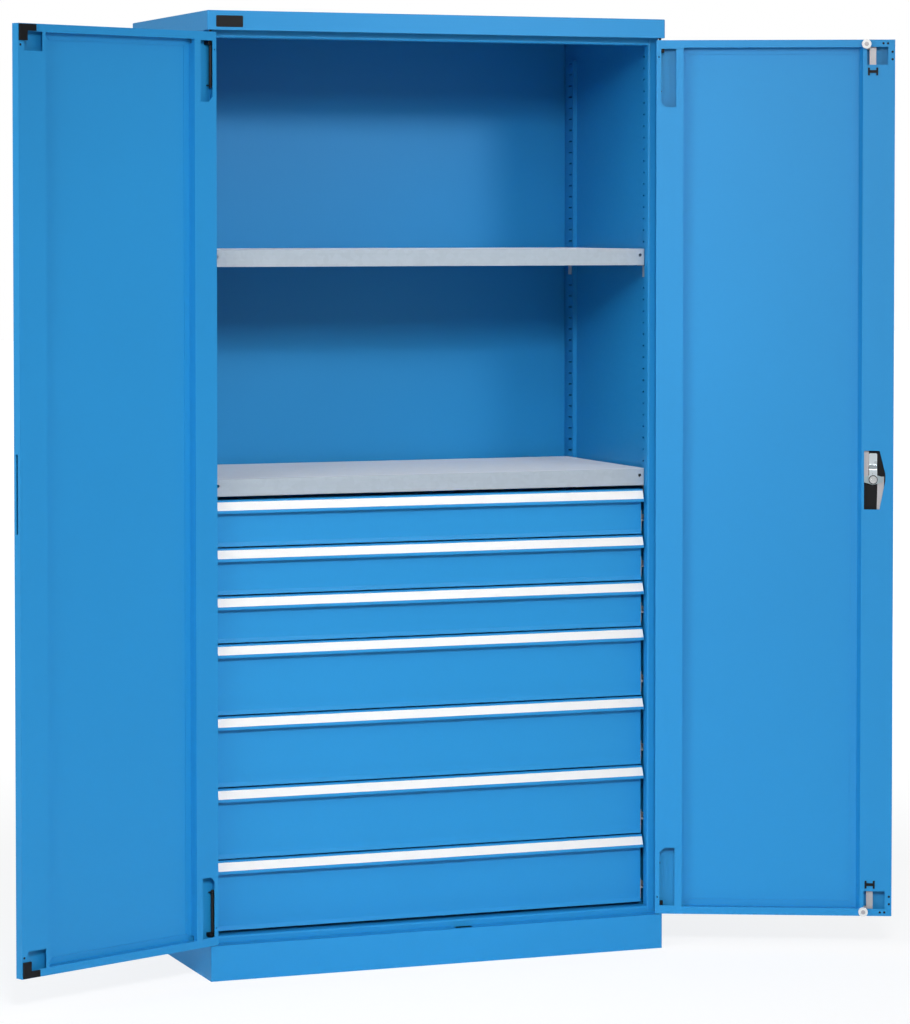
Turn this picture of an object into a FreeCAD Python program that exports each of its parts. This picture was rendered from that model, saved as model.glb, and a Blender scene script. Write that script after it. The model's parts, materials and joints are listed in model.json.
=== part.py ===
import FreeCAD, Part
import math
import os

V = FreeCAD.Vector

# Cabinet: the overall size, in millimetres, with its front at y = 0 while pieces are built
cabinet_width = 1023.0
cabinet_depth = 555.0
cabinet_height = 2000.0

# Sheets, bends and clearances
cap_sheet = 1.5
body_sheet = 1.2
plinth_sheet = 1.5
inside_bend = 1.2
seat_gap = 0.3
running_gap = 0.5
pin_play = 0.05
overrun = 5.0
closeness = 0.000001

# Cap
cap_height = 40.0
cap_corner_round = 3.0
cap_edge_round = 2.0
cap_return_reach = 6.0
cap_return_half_width = 480.0
cap_keeper_height = 14.0

# Plinth
plinth_height = 73.5
plinth_side_inset = 3.0
plinth_foot_reach = 30.0
plinth_edge_round = 2.0

# Front frame: posts on the side panels, top rail and floor panel
frame_setback = 32.0
post_width = 23.5
post_depth = 20.0
frame_edge_round = 4.0
top_rail_drop = 14.5
floor_rise = 13.5
back_flange = 25.0

# Perforated uprights
upright_depth = 33.0
upright_reach = 9.3
upright_sheet = 1.5
front_upright_set = 64.0
rear_upright_set = 481.0
upright_top_gap = 29.0
slot_pitch = 25.0
slot_length = 18.0
slot_height = 3.5

# Shelves and their clips
lower_shelf_gap = 8.0
upper_shelf_steps = 19
shelf_lip = 35.0
shelf_lip_return = 12.0
shelf_front_set = 50.0
shelf_depth = 464.0
shelf_side_gap = 2.0
shelf_notch_depth = 12.0
shelf_front_gap = 1.5
shelf_hole_radius = 3.5
shelf_hole_drop = 13.5
shelf_hole_inset = 9.0
clip_sheet = 1.5
clip_width = 16.0
clip_ledge = 14.0
clip_height = 26.0
clip_hook = 4.0

# Drawers, from the bottom up
drawer_heights = (150.0, 150.0, 150.0, 150.0, 100.0, 100.0, 100.0)
drawer_floor_gap = 4.0
drawer_front_gap = 3.0
drawer_face_set = 55.0
drawer_side_gap = 5.5
drawer_sheet = 1.2
drawer_top_flange = 16.0
drawer_side_return = 5.5
handle_top_reach = 8.0
handle_reach = 16.5
handle_slope_drop = 22.5
handle_lip = 4.5
handle_grip_return = 8.0
handle_end_slit = 43.0
skirt_height = 9.0
skirt_reach = 2.5
skirt_return = 9.0
strip_top_drop = 4.0
strip_bottom_drop = 21.0
strip_thickness = 1.0
strip_end_gap = 1.0
box_depth = 450.0
box_floor_rise = 8.0
box_top_drop = 32.0
box_rim = 8.0

# Drawer slides
slide_centre_rise = 30.0
slide_height = 44.0
slide_sheet = 1.2
slide_length = 440.0
slide_start = 7.0
slide_post_gap = 1.0
slide_outer_width = 10.0
slide_overlap = 1.5
slide_inner_width = 21.0
slide_middle_gap = 7.0
slide_bracket_length = 30.0
slide_bracket_leg = 12.0

# Doors, built shut in their own frame: u from the hinge edge, v from the outer face
door_side_gap = 1.5
door_centre_gap = 4.0
door_thickness = 20.0
door_sheet = 1.2
door_foot_gap = 1.7
door_head_gap = 4.6
door_edge_round = 1.5
pin_from_edge = 7.0
pin_from_face = 9.0
pin_radius = 3.0
left_open_angle = 156.7
right_open_angle = 155.6
hinge_stile = 58.0
free_stile = 68.0
stile_slope = 8.0
end_return = 16.0
frame_foot = 14.0
mitre_slit = 0.5
corner_relief = 9.0
hinge_window_edge = 10.0
hinge_window_width = 32.0
hinge_window_height = 125.0
hinge_window_end = 18.0
hinge_window_chamfer = 10.0
rod_window_start = 15.0
rod_window_width = 45.0
rod_window_end = 15.5
rod_window_height = 38.0
small_hole_size = 3.2
edge_hole_inset = 5.5
edge_hole_first = 26.0
edge_hole_second = 42.0
end_hole_drop = 8.0
end_hole_first = 15.5
end_hole_second = 25.0
wall_slot_low = 9.0
wall_slot_width = 3.0
wall_slot_end = 43.0
wall_slot_length = 21.0
hinge_hole_inset = 5.0
hinge_hole_end = 36.0

# Hinge pins, their brackets and the plates in which they turn
hinge_plate_sheet = 3.0
hinge_plate_front = 3.0
hinge_plate_inset = 0.5
hinge_plate_width = 15.0
hinge_plate_leg = 22.0
hinge_plate_lift = 2.0
hinge_plate_back = 30.0
pin_end = 1.0
pin_tail = 4.0
pin_bracket_start = 26.0
pin_bracket_length = 84.0
pin_bracket_sheet = 2.0
pin_bracket_reach = 11.5
pin_bracket_depth = 14.0

# Corner blocks on the left door
corner_block_thickness = 5.0
corner_block_length = 40.0
corner_block_arm = 32.0
corner_block_width = 13.0
corner_block_arm_width = 18.5
corner_block_inset = 1.5

# Lock on the right door, seen from inside
lock_from_free_edge = 43.0
lock_window_left = 19.5
lock_window_right = 13.5
lock_window_point = 26.0
lock_window_rise = 62.0
lock_window_fall = 64.0
lock_point_high = 12.0
lock_point_low = 2.0
housing_lap = 3.0
housing_top = 8.5
rod_low = 10.0
rod_thickness = 3.0
rod_width = 14.0
rod_offset = 17.0
rod_tail = 6.0
rod_guide_offset = 4.0
rod_straight = 70.0
drive_plate_low = 14.0
drive_plate_thickness = 2.5
drive_plate_half_length = 22.0
drive_plate_half_height = 11.5
drive_plate_tip = 5.0
rivet_radius = 4.0
rivet_height = 1.5
tongue_thickness = 2.5
tongue_half_width = 8.5
tongue_length = 56.0
tongue_step_start = 22.0
tongue_step_length = 9.0
tongue_tip_low = 9.0
tongue_end_corner = 3.0
spindle_half_width = 4.0
spindle_neck_radius = 9.0
screw_radius = 8.0
screw_height = 3.0
screw_slot_width = 1.6
screw_slot_depth = 1.2
strike_low = 7.0
strike_high = 13.0
strike_rise = 96.0
strike_fall = 62.0
tongue_slot_rise = 60.0
tongue_slot_fall = 12.0

# Rollers, their axles and the guides of the rods
roller_radius = 10.0
roller_thickness = 7.0
roller_float = 1.5
roller_side_shift = 18.0
roller_end = 9.4
axle_radius = 3.0
axle_head_radius = 4.5
axle_head_height = 1.0
bracket_lap = 3.5
bracket_end = 5.0
bracket_height = 16.0
notch_gap = 1.2
roller_slot_gap = 2.0
guide_end = 68.0
guide_width = 21.5
guide_height = 16.6
guide_bar_height = 6.0
guide_leg_width = 4.0
guide_thickness = 1.8
prong_width = 1.2
prong_length = 6.0
prong_hole_gap = 0.4

# Outside handle and key cylinder
escutcheon_height = 140.0
escutcheon_width = 46.0
escutcheon_thickness = 6.0
escutcheon_corner = 8.0
handle_gap = 0.5
handle_half_length = 38.0
handle_half_width = 13.0
handle_thickness = 18.0
handle_corner = 6.0
handle_slope = 3.0
cylinder_radius = 8.0
cylinder_depth = 14.0
cylinder_proud = 1.0
key_slot_width = 1.6
key_slot_length = 9.0
key_slot_depth = 5.0

# Places that follow from the sizes above
body_half = cabinet_width / 2 - cap_sheet
inner_half = body_half - body_sheet
opening_half = body_half - post_width
body_back = cabinet_depth - cap_sheet
body_top = cabinet_height - cap_sheet
cap_bottom = cabinet_height - cap_height
rail_bottom = cap_bottom - top_rail_drop
floor_top = plinth_height + floor_rise
post_back = frame_setback + post_depth
plinth_half = cabinet_width / 2 - plinth_side_inset
upright_face = inner_half - upright_reach
upright_top = cap_bottom - upright_top_gap
lower_shelf_height = floor_top + drawer_floor_gap + sum(drawer_heights) + lower_shelf_gap
upper_shelf_height = lower_shelf_height + upper_shelf_steps * slot_pitch
slot_count = int((upright_top - lower_shelf_height - slot_height) / slot_pitch) + 1
back_panel_face = body_back - body_sheet * 2
door_edge = cabinet_width / 2 - door_side_gap
door_width = door_edge - door_centre_gap / 2
door_foot = plinth_height + door_foot_gap
door_head = cap_bottom - door_head_gap
door_middle = (door_foot + door_head) / 2
pin_place = door_edge - pin_from_edge
drawer_half = opening_half - drawer_side_gap
slide_face = opening_half - slide_post_gap
box_half = slide_face - slide_sheet - slide_inner_width
slide_web = slide_face - slide_outer_width + slide_overlap
slide_back = drawer_face_set + slide_start
free_wall = door_width - free_stile
lock_u = door_width - lock_from_free_edge
roller_u = lock_u - roller_side_shift
rod_high = rod_low + rod_thickness
frame_low = door_thickness - door_sheet


def box(x0, x1, y0, y1, z0, z1):
    """A block between two corners."""
    return Part.makeBox(x1 - x0, y1 - y0, z1 - z0, V(x0, y0, z0))


def rod(radius, start, end):
    """A round bar from one point to another."""
    way = end - start
    return Part.makeCylinder(radius, way.Length, start, way)


def corner(before, here, after, radius):
    """Start, middle and end of the round at one corner of an outline."""
    if not radius:
        return here, None, here
    back = (before - here).normalize()
    ahead = (after - here).normalize()
    half = back.getAngle(ahead) / 2
    reach = radius / math.tan(half)
    inward = (back + ahead).normalize()
    middle = here + inward * (radius / math.sin(half) - radius)
    return here + back * reach, middle, here + ahead * reach


def outline(points, radii, place):
    """A closed wire of lines and arcs through flat points that place() lifts into space."""
    count = len(points)
    rounds = []
    for index in range(count):
        rounds.append(corner(points[index - 1], points[index], points[(index + 1) % count], radii[index]))
    edges = []
    for index, (start, middle, end) in enumerate(rounds):
        if middle is not None:
            edges.append(Part.Arc(place(start), place(middle), place(end)).toShape())
        following = rounds[(index + 1) % count][0]
        if end.distanceToPoint(following) > closeness:
            edges.append(Part.LineSegment(place(end), place(following)).toShape())
    return Part.Wire(edges)


def prism(points, radii, place, run):
    """A solid with a flat outline, drawn along a vector."""
    flat = [V(a, b, 0) for a, b in points]
    return Part.Face(outline(flat, radii, place)).extrude(run)


def sheet(path, bends, thickness, place, run):
    """A folded sheet whose middle follows a path, drawn along a vector."""
    line = [V(a, b, 0) for a, b in path]
    last = len(line) - 1
    left, right = [], []
    left_radii, right_radii = [], []
    for index, here in enumerate(line):
        into = (here - line[index - 1]).normalize() if index else (line[1] - here).normalize()
        out = (line[index + 1] - here).normalize() if index < last else into
        side_in = V(-into.y, into.x, 0)
        side_out = V(-out.y, out.x, 0)
        shift = (side_in + side_out) * (thickness / 2 / (1 + side_in.dot(side_out)))
        turn = into.cross(out).z
        bend = bends[index - 1] if 0 < index < last else 0
        left.append(here + shift)
        right.append(here - shift)
        left_radii.append(0 if not bend else bend if turn > 0 else bend + thickness)
        right_radii.append(0 if not bend else bend + thickness if turn > 0 else bend)
    points = left + right[::-1]
    radii = left_radii + right_radii[::-1]
    return Part.Face(outline(points, radii, place)).extrude(run)


def on_plan(z):
    """Lifts flat points to a level plane."""
    return lambda p: V(p.x, p.y, z)


def on_section(x):
    """Stands flat points up across the cabinet: first front to back, then up."""
    return lambda p: V(x, p.x, p.y)


def on_front(y):
    """Stands flat points up along the cabinet: first left to right, then up."""
    return lambda p: V(p.x, y, p.y)


def on_both_sides(shape):
    """A shape and its mirror image across the middle of the cabinet."""
    return [shape, shape.mirror(V(0, 0, 0), V(1, 0, 0))]


def fillet(shape, radius, chosen):
    """Rounds the edges that a test picks."""
    return shape.makeFillet(radius, [edge for edge in shape.Edges if chosen(edge)])


def chamfer(shape, size, chosen):
    """Cuts the edges that a test picks at a slope."""
    return shape.makeChamfer(size, [edge for edge in shape.Edges if chosen(edge)])


def runs_along(edge, way):
    """True where a straight edge lies along a direction."""
    ends = edge.Vertexes
    if len(ends) < 2:
        return False
    line = (ends[1].Point - ends[0].Point).normalize()
    return abs(abs(line.dot(way)) - 1) < closeness


def save(name, *solids):
    """Writes one node, with the middle of the footprint at the origin."""
    shape = solids[0] if len(solids) == 1 else Part.makeCompound(list(solids))
    shape = shape.copy()
    shape.translate(V(0, -cabinet_depth / 2, 0))
    shape.exportStep("parts/%s.step" % name)


# Carcass


def plinth():
    """A welded base with a turned-in foot, holes for the hinge pins and slots for the lock rollers."""
    body = box(-plinth_half, plinth_half, 0, cabinet_depth, 0, plinth_height)
    body = fillet(body, plinth_edge_round, lambda edge: runs_along(edge, V(0, 0, 1)))
    inner_x = plinth_half - plinth_sheet
    body = body.cut(box(-inner_x, inner_x, plinth_sheet, cabinet_depth - plinth_sheet,
                        plinth_sheet, plinth_height - plinth_sheet))
    foot_x = plinth_half - plinth_foot_reach
    body = body.cut(box(-foot_x, foot_x, plinth_foot_reach, cabinet_depth - plinth_foot_reach,
                        -overrun, plinth_sheet + overrun))
    top_low = plinth_height - plinth_sheet - overrun
    top_high = plinth_height + overrun
    for side in (-1, 1):
        place = V(side * pin_place, pin_from_face, top_low)
        body = body.cut(rod(pin_radius + running_gap, place, place + V(0, 0, top_high - top_low)))
    roller_x = door_edge - roller_u
    slot_left = door_edge - lock_u - rod_width / 2 - roller_slot_gap
    slot_right = roller_x + roller_radius + roller_slot_gap
    roller_back = door_thickness + roller_float + roller_thickness + axle_head_height
    return body.cut(box(slot_left, slot_right, rod_low - roller_slot_gap, roller_back + roller_float,
                        top_low, top_high))


def side_panel():
    """The right side panel, folded round the front post and in at the back."""
    half = body_sheet / 2
    face = frame_setback + half
    wall = body_half - half
    reveal = opening_half + half
    path = [(inner_half - seat_gap, post_back - half), (reveal, post_back - half), (reveal, face),
            (wall, face), (wall, body_back - half), (body_half - back_flange, body_back - half)]
    bends = [0, frame_edge_round - body_sheet, inside_bend, 0]
    return sheet(path, bends, body_sheet, on_plan(plinth_height), V(0, 0, body_top - plinth_height))


def back_panel():
    """A flat sheet that lies on the back flanges of the side panels."""
    half = inner_half - inside_bend - seat_gap
    return box(-half, half, back_panel_face, body_back - body_sheet, plinth_height, body_top)


def top_cap():
    """A tray lid with a return under its front edge and a keeper lip for the lock."""
    half = cabinet_width / 2
    body = box(-half, half, 0, cabinet_depth, cap_bottom, cabinet_height)
    body = fillet(body, cap_corner_round, lambda edge: runs_along(edge, V(0, 0, 1)))
    top = cabinet_height - closeness
    body = fillet(body, cap_edge_round, lambda edge: edge.BoundBox.ZMin > top)
    body = body.cut(box(-body_half, body_half, cap_sheet, body_back, cap_bottom - overrun, body_top))
    lip_back = cap_sheet + cap_return_reach
    half_return = cap_return_half_width
    shelf = box(-half_return, half_return, cap_sheet, lip_back, cap_bottom, cap_bottom + cap_sheet)
    lip = box(-half_return, half_return, lip_back - cap_sheet, lip_back, cap_bottom,
              cap_bottom + cap_keeper_height)
    return body.fuse([shelf, lip]).removeSplitter()


def top_rail():
    """A channel between the posts, with a rounded lower edge."""
    half = body_sheet / 2
    low = rail_bottom + half
    high = body_top - half
    face = frame_setback + half
    path = [(post_back, low), (face, low), (face, high), (post_back, high)]
    bends = [frame_edge_round - body_sheet, 0]
    return sheet(path, bends, body_sheet, on_section(-opening_half), V(opening_half * 2, 0, 0))


def floor_panel():
    """The cabinet floor, folded down at the front and back onto the plinth."""
    half = body_sheet / 2
    face = frame_setback + half
    foot = plinth_height + half
    high = floor_top - half
    back = back_panel_face - half
    path = [(post_back, foot), (face, foot), (face, high), (back, high), (back, foot),
            (back - post_depth, foot)]
    bends = [0, frame_edge_round - body_sheet, 0, 0]
    front = sheet(path, bends, body_sheet, on_section(-opening_half), V(opening_half * 2, 0, 0))
    wing_half = inner_half - seat_gap
    wing_back = back_panel_face - body_sheet - inside_bend
    wing = box(-wing_half, wing_half, post_back + seat_gap, wing_back, floor_top - body_sheet, floor_top)
    return front.fuse(wing).removeSplitter()


def upright(front_place):
    """A slotted channel on the right side panel."""
    half = upright_sheet / 2
    web = upright_face + half
    near = front_place + half
    far = front_place + upright_depth - half
    path = [(inner_half, near), (web, near), (web, far), (inner_half, far)]
    body = sheet(path, [0, 0], upright_sheet, on_plan(floor_top), V(0, 0, upright_top - floor_top))
    middle = front_place + upright_depth / 2
    slots = []
    for step in range(slot_count):
        level = lower_shelf_height + step * slot_pitch
        slots.append(box(upright_face - overrun, upright_face + overrun,
                         middle - slot_length / 2, middle + slot_length / 2,
                         level - slot_height / 2, level + slot_height / 2))
    return body.cut(Part.makeCompound(slots))


def shelf(level):
    """A folded shelf: lips all round, turned in at the front, with its front corners cut for the posts."""
    half = upright_face - shelf_side_gap
    front = shelf_front_set
    back = front + shelf_depth
    top = level + shelf_lip
    sheet_size = body_sheet
    body = box(-half, half, front, back, level, top)
    across = V(1, 0, 0)
    body = fillet(body, inside_bend,
                  lambda edge: edge.BoundBox.ZMin > top - closeness and runs_along(edge, across))
    notch = half - (opening_half - shelf_front_gap)
    for side in (-1, 1):
        x_in = side * (half - notch)
        x_out = side * (half + overrun)
        body = body.cut(box(min(x_in, x_out), max(x_in, x_out), front - overrun, front + shelf_notch_depth,
                            level - overrun, top + overrun))
    inside = box(-half + sheet_size, half - sheet_size, front + shelf_notch_depth + sheet_size,
                 back - sheet_size, level - overrun, top - sheet_size)
    mouth_half = half - notch - sheet_size
    mouth = box(-mouth_half, mouth_half, front + sheet_size, front + shelf_notch_depth + overrun,
                level - overrun, top - sheet_size)
    body = body.cut(inside.fuse(mouth))
    turned_in = box(-mouth_half, mouth_half, front, front + shelf_lip_return, level, level + sheet_size)
    body = body.fuse(turned_in).removeSplitter()
    for side in (-1, 1):
        place = V(side * (half - notch - shelf_hole_inset), front - overrun, top - shelf_hole_drop)
        body = body.cut(rod(shelf_hole_radius, place, place + V(0, overrun * 2, 0)))
    return body


def shelf_clip(level, front_place):
    """An angle with a hook in one slot of an upright and a ledge under a shelf."""
    middle = front_place + upright_depth / 2
    near = middle - clip_width / 2
    far = middle + clip_width / 2
    slot_floor = level - slot_height / 2
    face = upright_face
    ledge = box(face - clip_ledge, face, near, far, level - clip_sheet, level)
    plate = box(face - clip_sheet, face, near, far, level - clip_height, level)
    hook = box(face - clip_sheet, face + clip_hook, near, far, slot_floor, slot_floor + clip_sheet)
    return ledge.fuse([plate, hook]).removeSplitter()


# Drawers and slides


def drawer_front(foot, height):
    """A folded front: a face with a flared skirt, under a sloping full-width handle."""
    low = foot + drawer_front_gap
    top = foot + height
    half = drawer_sheet / 2
    face = drawer_face_set
    lip_top = top - handle_slope_drop
    lip_low = lip_top - handle_lip
    run = V(drawer_half * 2, 0, 0)
    handle_path = [(face + drawer_top_flange, top - half), (face - handle_top_reach + half, top - half),
                   (face - handle_reach + half, lip_top), (face - handle_reach + half, lip_low)]
    handle = sheet(handle_path, [inside_bend, inside_bend], drawer_sheet, on_section(-drawer_half), run)
    face_path = [(face + half, top - half), (face + half, low + skirt_height),
                 (face - skirt_reach + half, low + half), (face - skirt_reach + skirt_return, low + half)]
    panel = sheet(face_path, [0, 0], drawer_sheet, on_section(-drawer_half), run)
    grip_half = drawer_half - handle_end_slit
    grip = box(-grip_half, grip_half, face - handle_reach, face - handle_reach + handle_grip_return,
               lip_low, lip_low + drawer_sheet)
    edge = box(drawer_half - drawer_sheet, drawer_half, face, face + drawer_side_return,
               low + skirt_height, top - drawer_sheet)
    return handle.fuse([panel, grip] + on_both_sides(edge)).removeSplitter()


def label_strip(foot, height):
    """The white strip that lies on the sloping part of the handle."""
    top = foot + height
    half_sheet = drawer_sheet / 2
    slope = (handle_reach - handle_top_reach) / (handle_slope_drop - half_sheet)
    lean = math.atan(slope)
    face = drawer_face_set - handle_top_reach + half_sheet - half_sheet / math.cos(lean)
    high = top - strip_top_drop
    low = top - strip_bottom_drop
    near_high = face - slope * (strip_top_drop - half_sheet)
    near_low = face - slope * (strip_bottom_drop - half_sheet)
    away = V(0, -math.cos(lean), math.sin(lean)) * strip_thickness
    half = drawer_half - strip_end_gap
    points = [V(-half, near_high, high), V(half, near_high, high),
              V(half, near_low, low), V(-half, near_low, low)]
    return Part.Face(Part.makePolygon(points + points[:1])).extrude(away)


def drawer_box(foot, height):
    """A tray behind the front, with a rolled rim and a slide rail on each side."""
    low = foot + box_floor_rise
    top = foot + height - box_top_drop
    front = drawer_face_set + drawer_sheet
    back = front + box_depth
    body = box(-box_half, box_half, front, back, low, top)
    wall = drawer_sheet
    hollow = box(-box_half + wall, box_half - wall, front + wall, back - wall, low + wall, top + overrun)
    body = body.cut(hollow)
    rims = []
    for side in (-1, 1):
        inner = side * (box_half - box_rim)
        outer = side * box_half
        rims.append(box(min(inner, outer), max(inner, outer), front, back, top - wall, top))
    centre = foot + slide_centre_rise
    half = slide_height / 2 - (slide_sheet + running_gap) * 2
    reach = slide_web - running_gap
    inner = slide_sheet / 2
    path = [(reach, centre - half + inner), (box_half + inner, centre - half + inner),
            (box_half + inner, centre + half - inner), (reach, centre + half - inner)]
    rail = sheet(path, [0, 0], slide_sheet, on_front(slide_back), V(0, slide_length, 0))
    return body.fuse(rims + on_both_sides(rail)).removeSplitter()


def outer_rail(foot):
    """A fixed channel on two brackets that reach out to the uprights of the right side."""
    centre = foot + slide_centre_rise
    half = slide_height / 2
    inner = slide_sheet / 2
    reach = slide_face - slide_outer_width
    path = [(reach, centre - half + inner), (slide_face - inner, centre - half + inner),
            (slide_face - inner, centre + half - inner), (reach, centre + half - inner)]
    rail = sheet(path, [0, 0], slide_sheet, on_front(slide_back), V(0, slide_length, 0))
    brackets = []
    for near in (front_upright_set, slide_back + slide_length - slide_bracket_length):
        bracket_path = [(slide_face + inner, centre - slide_bracket_leg), (slide_face + inner, centre),
                        (upright_face - inner, centre), (upright_face - inner, centre + slide_bracket_leg)]
        brackets.append(sheet(bracket_path, [0, 0], slide_sheet, on_front(near),
                              V(0, slide_bracket_length, 0)))
    return rail.fuse(brackets).removeSplitter()


def middle_rail(foot):
    """A running rail with a channel on each side, between the fixed rail and the drawer's own."""
    centre = foot + slide_centre_rise
    half = slide_height / 2 - slide_sheet - running_gap
    outer_reach = slide_face - slide_sheet - running_gap
    inner_reach = box_half + slide_middle_gap
    start = slide_back
    end = slide_back + slide_length
    body = box(slide_web, slide_web + slide_sheet, start, end, centre - half, centre + half)
    flanges = []
    for low in (centre - half, centre + half - slide_sheet):
        flanges.append(box(inner_reach, outer_reach, start, end, low, low + slide_sheet))
    return body.fuse(flanges).removeSplitter()


# Doors, in door coordinates: u from the hinge edge, v from the outer face inward, z as in the cabinet


def hang(shape, side):
    """Brings a piece of a shut door into the cabinet and opens the door as photographed."""
    if side < 0:
        placed = shape.copy()
        placed.translate(V(-door_edge, 0, 0))
        placed.rotate(V(-pin_place, pin_from_face, 0), V(0, 0, 1), -left_open_angle)
        return placed
    placed = shape.mirror(V(0, 0, 0), V(1, 0, 0))
    placed.translate(V(door_edge, 0, 0))
    placed.rotate(V(pin_place, pin_from_face, 0), V(0, 0, 1), right_open_angle)
    return placed


def both_ends(shape):
    """A piece near the top of a door and its mirror image near the bottom."""
    return [shape, shape.mirror(V(0, 0, door_middle), V(0, 0, 1))]


def door_skin():
    """The outer skin: a shallow tray with holes for the hinge pins."""
    body = box(0, door_width, 0, door_thickness, door_foot, door_head)
    body = fillet(body, door_edge_round, lambda edge: edge.BoundBox.YMax < closeness)
    body = body.cut(box(door_sheet, door_width - door_sheet, door_sheet, door_thickness + overrun,
                        door_foot + door_sheet, door_head - door_sheet))
    hole = rod(pin_radius + running_gap, V(pin_from_edge, pin_from_face, door_head - overrun),
               V(pin_from_edge, pin_from_face, door_head + overrun))
    return body.cut(both_ends(hole))


def tub(growth, low, high):
    """The space between the stiles: straight on the hinge side and sloping on the free side."""
    slope = stile_slope / (door_thickness - door_sheet)
    near = hinge_stile - growth
    wide = free_wall + growth - slope * (door_thickness - high)
    narrow = free_wall + growth - slope * (door_thickness - low)
    foot = door_foot + end_return - growth
    head = door_head - end_return + growth
    points = [(near, low), (narrow, low), (wide, high), (near, high)]
    return prism(points, [0] * len(points), on_plan(foot), V(0, 0, head - foot))


def hinge_window():
    """The cut-out in the hinge stile near the top, with one corner cut off."""
    near = hinge_window_edge
    far = near + hinge_window_width
    high = door_head - hinge_window_end
    low = high - hinge_window_height
    cut = hinge_window_chamfer
    points = [(near, high), (near, low + cut), (near + cut, low), (far, low), (far, high)]
    return prism(points, [0] * len(points), on_front(frame_low - overrun), V(0, overrun * 3, 0))


def rod_window():
    """The cut-out near the free corner at the top."""
    far = door_width - rod_window_start
    near = far - rod_window_width
    high = door_head - rod_window_end
    low = high - rod_window_height
    points = [(near, low), (far, low), (far, high), (near, high)]
    return prism(points, [0] * len(points), on_front(frame_low - overrun), V(0, overrun * 3, 0))


def small_holes():
    """The small square holes near the top corners."""
    places = [(door_width - edge_hole_inset, door_head - edge_hole_first),
              (door_width - edge_hole_inset, door_head - edge_hole_second),
              (door_width - end_hole_first, door_head - end_hole_drop),
              (door_width - end_hole_second, door_head - end_hole_drop),
              (hinge_hole_inset, door_head - hinge_hole_end)]
    half = small_hole_size / 2
    holes = []
    for u, z in places:
        holes.append(box(u - half, u + half, frame_low - overrun, door_thickness + overrun,
                         z - half, z + half))
    return holes


def wall_slot():
    """A short slot in the sloping wall near the top."""
    high = door_head - wall_slot_end
    return box(free_wall - stile_slope - overrun, free_wall + overrun,
               wall_slot_low, wall_slot_low + wall_slot_width, high - wall_slot_length, high)


def fold_relief():
    """The square relief where the folds meet in the hinge-side corner at the top."""
    head = door_head - end_return
    near = hinge_stile - door_sheet
    return box(near, hinge_stile + corner_relief, door_sheet, door_sheet + corner_relief,
               head - corner_relief, head + door_sheet)


def mitres():
    """Thin slits where the feet of the frame meet in its four corners."""
    reach = frame_foot * math.sqrt(2)
    slits = []
    near = hinge_stile
    far = free_wall - stile_slope
    foot = door_foot + end_return
    head = door_head - end_return
    for u, z, angle in ((near, head, 45), (far, head, 135), (near, foot, -45), (far, foot, -135)):
        slit = box(mitre_slit, reach + overrun, -overrun, door_sheet + overrun,
                   -mitre_slit / 2, mitre_slit / 2)
        slit.rotate(V(0, 0, 0), V(0, 1, 0), angle)
        slit.translate(V(u, 0, z))
        slits.append(slit)
    return slits


def door_frame():
    """The inner frame: stiles and end returns with walls down to a foot on the skin."""
    sheet_size = door_sheet
    face = box(sheet_size, door_width - sheet_size, frame_low, door_thickness,
               door_foot + sheet_size, door_head - sheet_size)
    walls = tub(sheet_size, sheet_size, door_thickness)
    foot_far = free_wall - stile_slope + sheet_size
    foot = box(hinge_stile - sheet_size, foot_far, sheet_size, sheet_size * 2,
               door_foot + end_return - sheet_size, door_head - end_return + sheet_size)
    open_foot = box(hinge_stile + frame_foot, free_wall - stile_slope - frame_foot, -overrun, sheet_size * 3,
                    door_foot + end_return + frame_foot, door_head - end_return - frame_foot)
    hollow = tub(0, sheet_size * 2, door_thickness + overrun)
    body = face.fuse([walls, foot]).cut([hollow, open_foot])
    cuts = mitres()
    for cut in (hinge_window(), rod_window(), wall_slot(), fold_relief()):
        cuts += both_ends(cut)
    for hole in small_holes():
        cuts += both_ends(hole)
    return body.cut(cuts).removeSplitter()


def hinge_plates():
    """Steel plates over and under each door, in which the pins turn."""
    hole = pin_radius + pin_play
    low = cap_bottom + hinge_plate_lift
    far = body_half - hinge_plate_inset
    near = far - hinge_plate_width
    level = box(near, far, hinge_plate_front, frame_setback, low, low + hinge_plate_sheet)
    leg = box(near, far - cap_corner_round, frame_setback - hinge_plate_sheet, frame_setback,
              low, low + hinge_plate_leg)
    top = level.fuse(leg).removeSplitter()
    far = plinth_half - plinth_sheet - seat_gap
    high = plinth_height - plinth_sheet
    bottom = box(far - hinge_plate_width, far, hinge_plate_front, hinge_plate_back,
                 high - hinge_plate_sheet, high)
    plates = []
    for plate in (top, bottom):
        place = V(pin_place, pin_from_face, plate.BoundBox.ZMin - overrun)
        plates.append(plate.cut(rod(hole, place, place + V(0, 0, plate.BoundBox.ZLength + overrun * 2))))
    return on_both_sides(plates[0]) + on_both_sides(plates[1])


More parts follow.
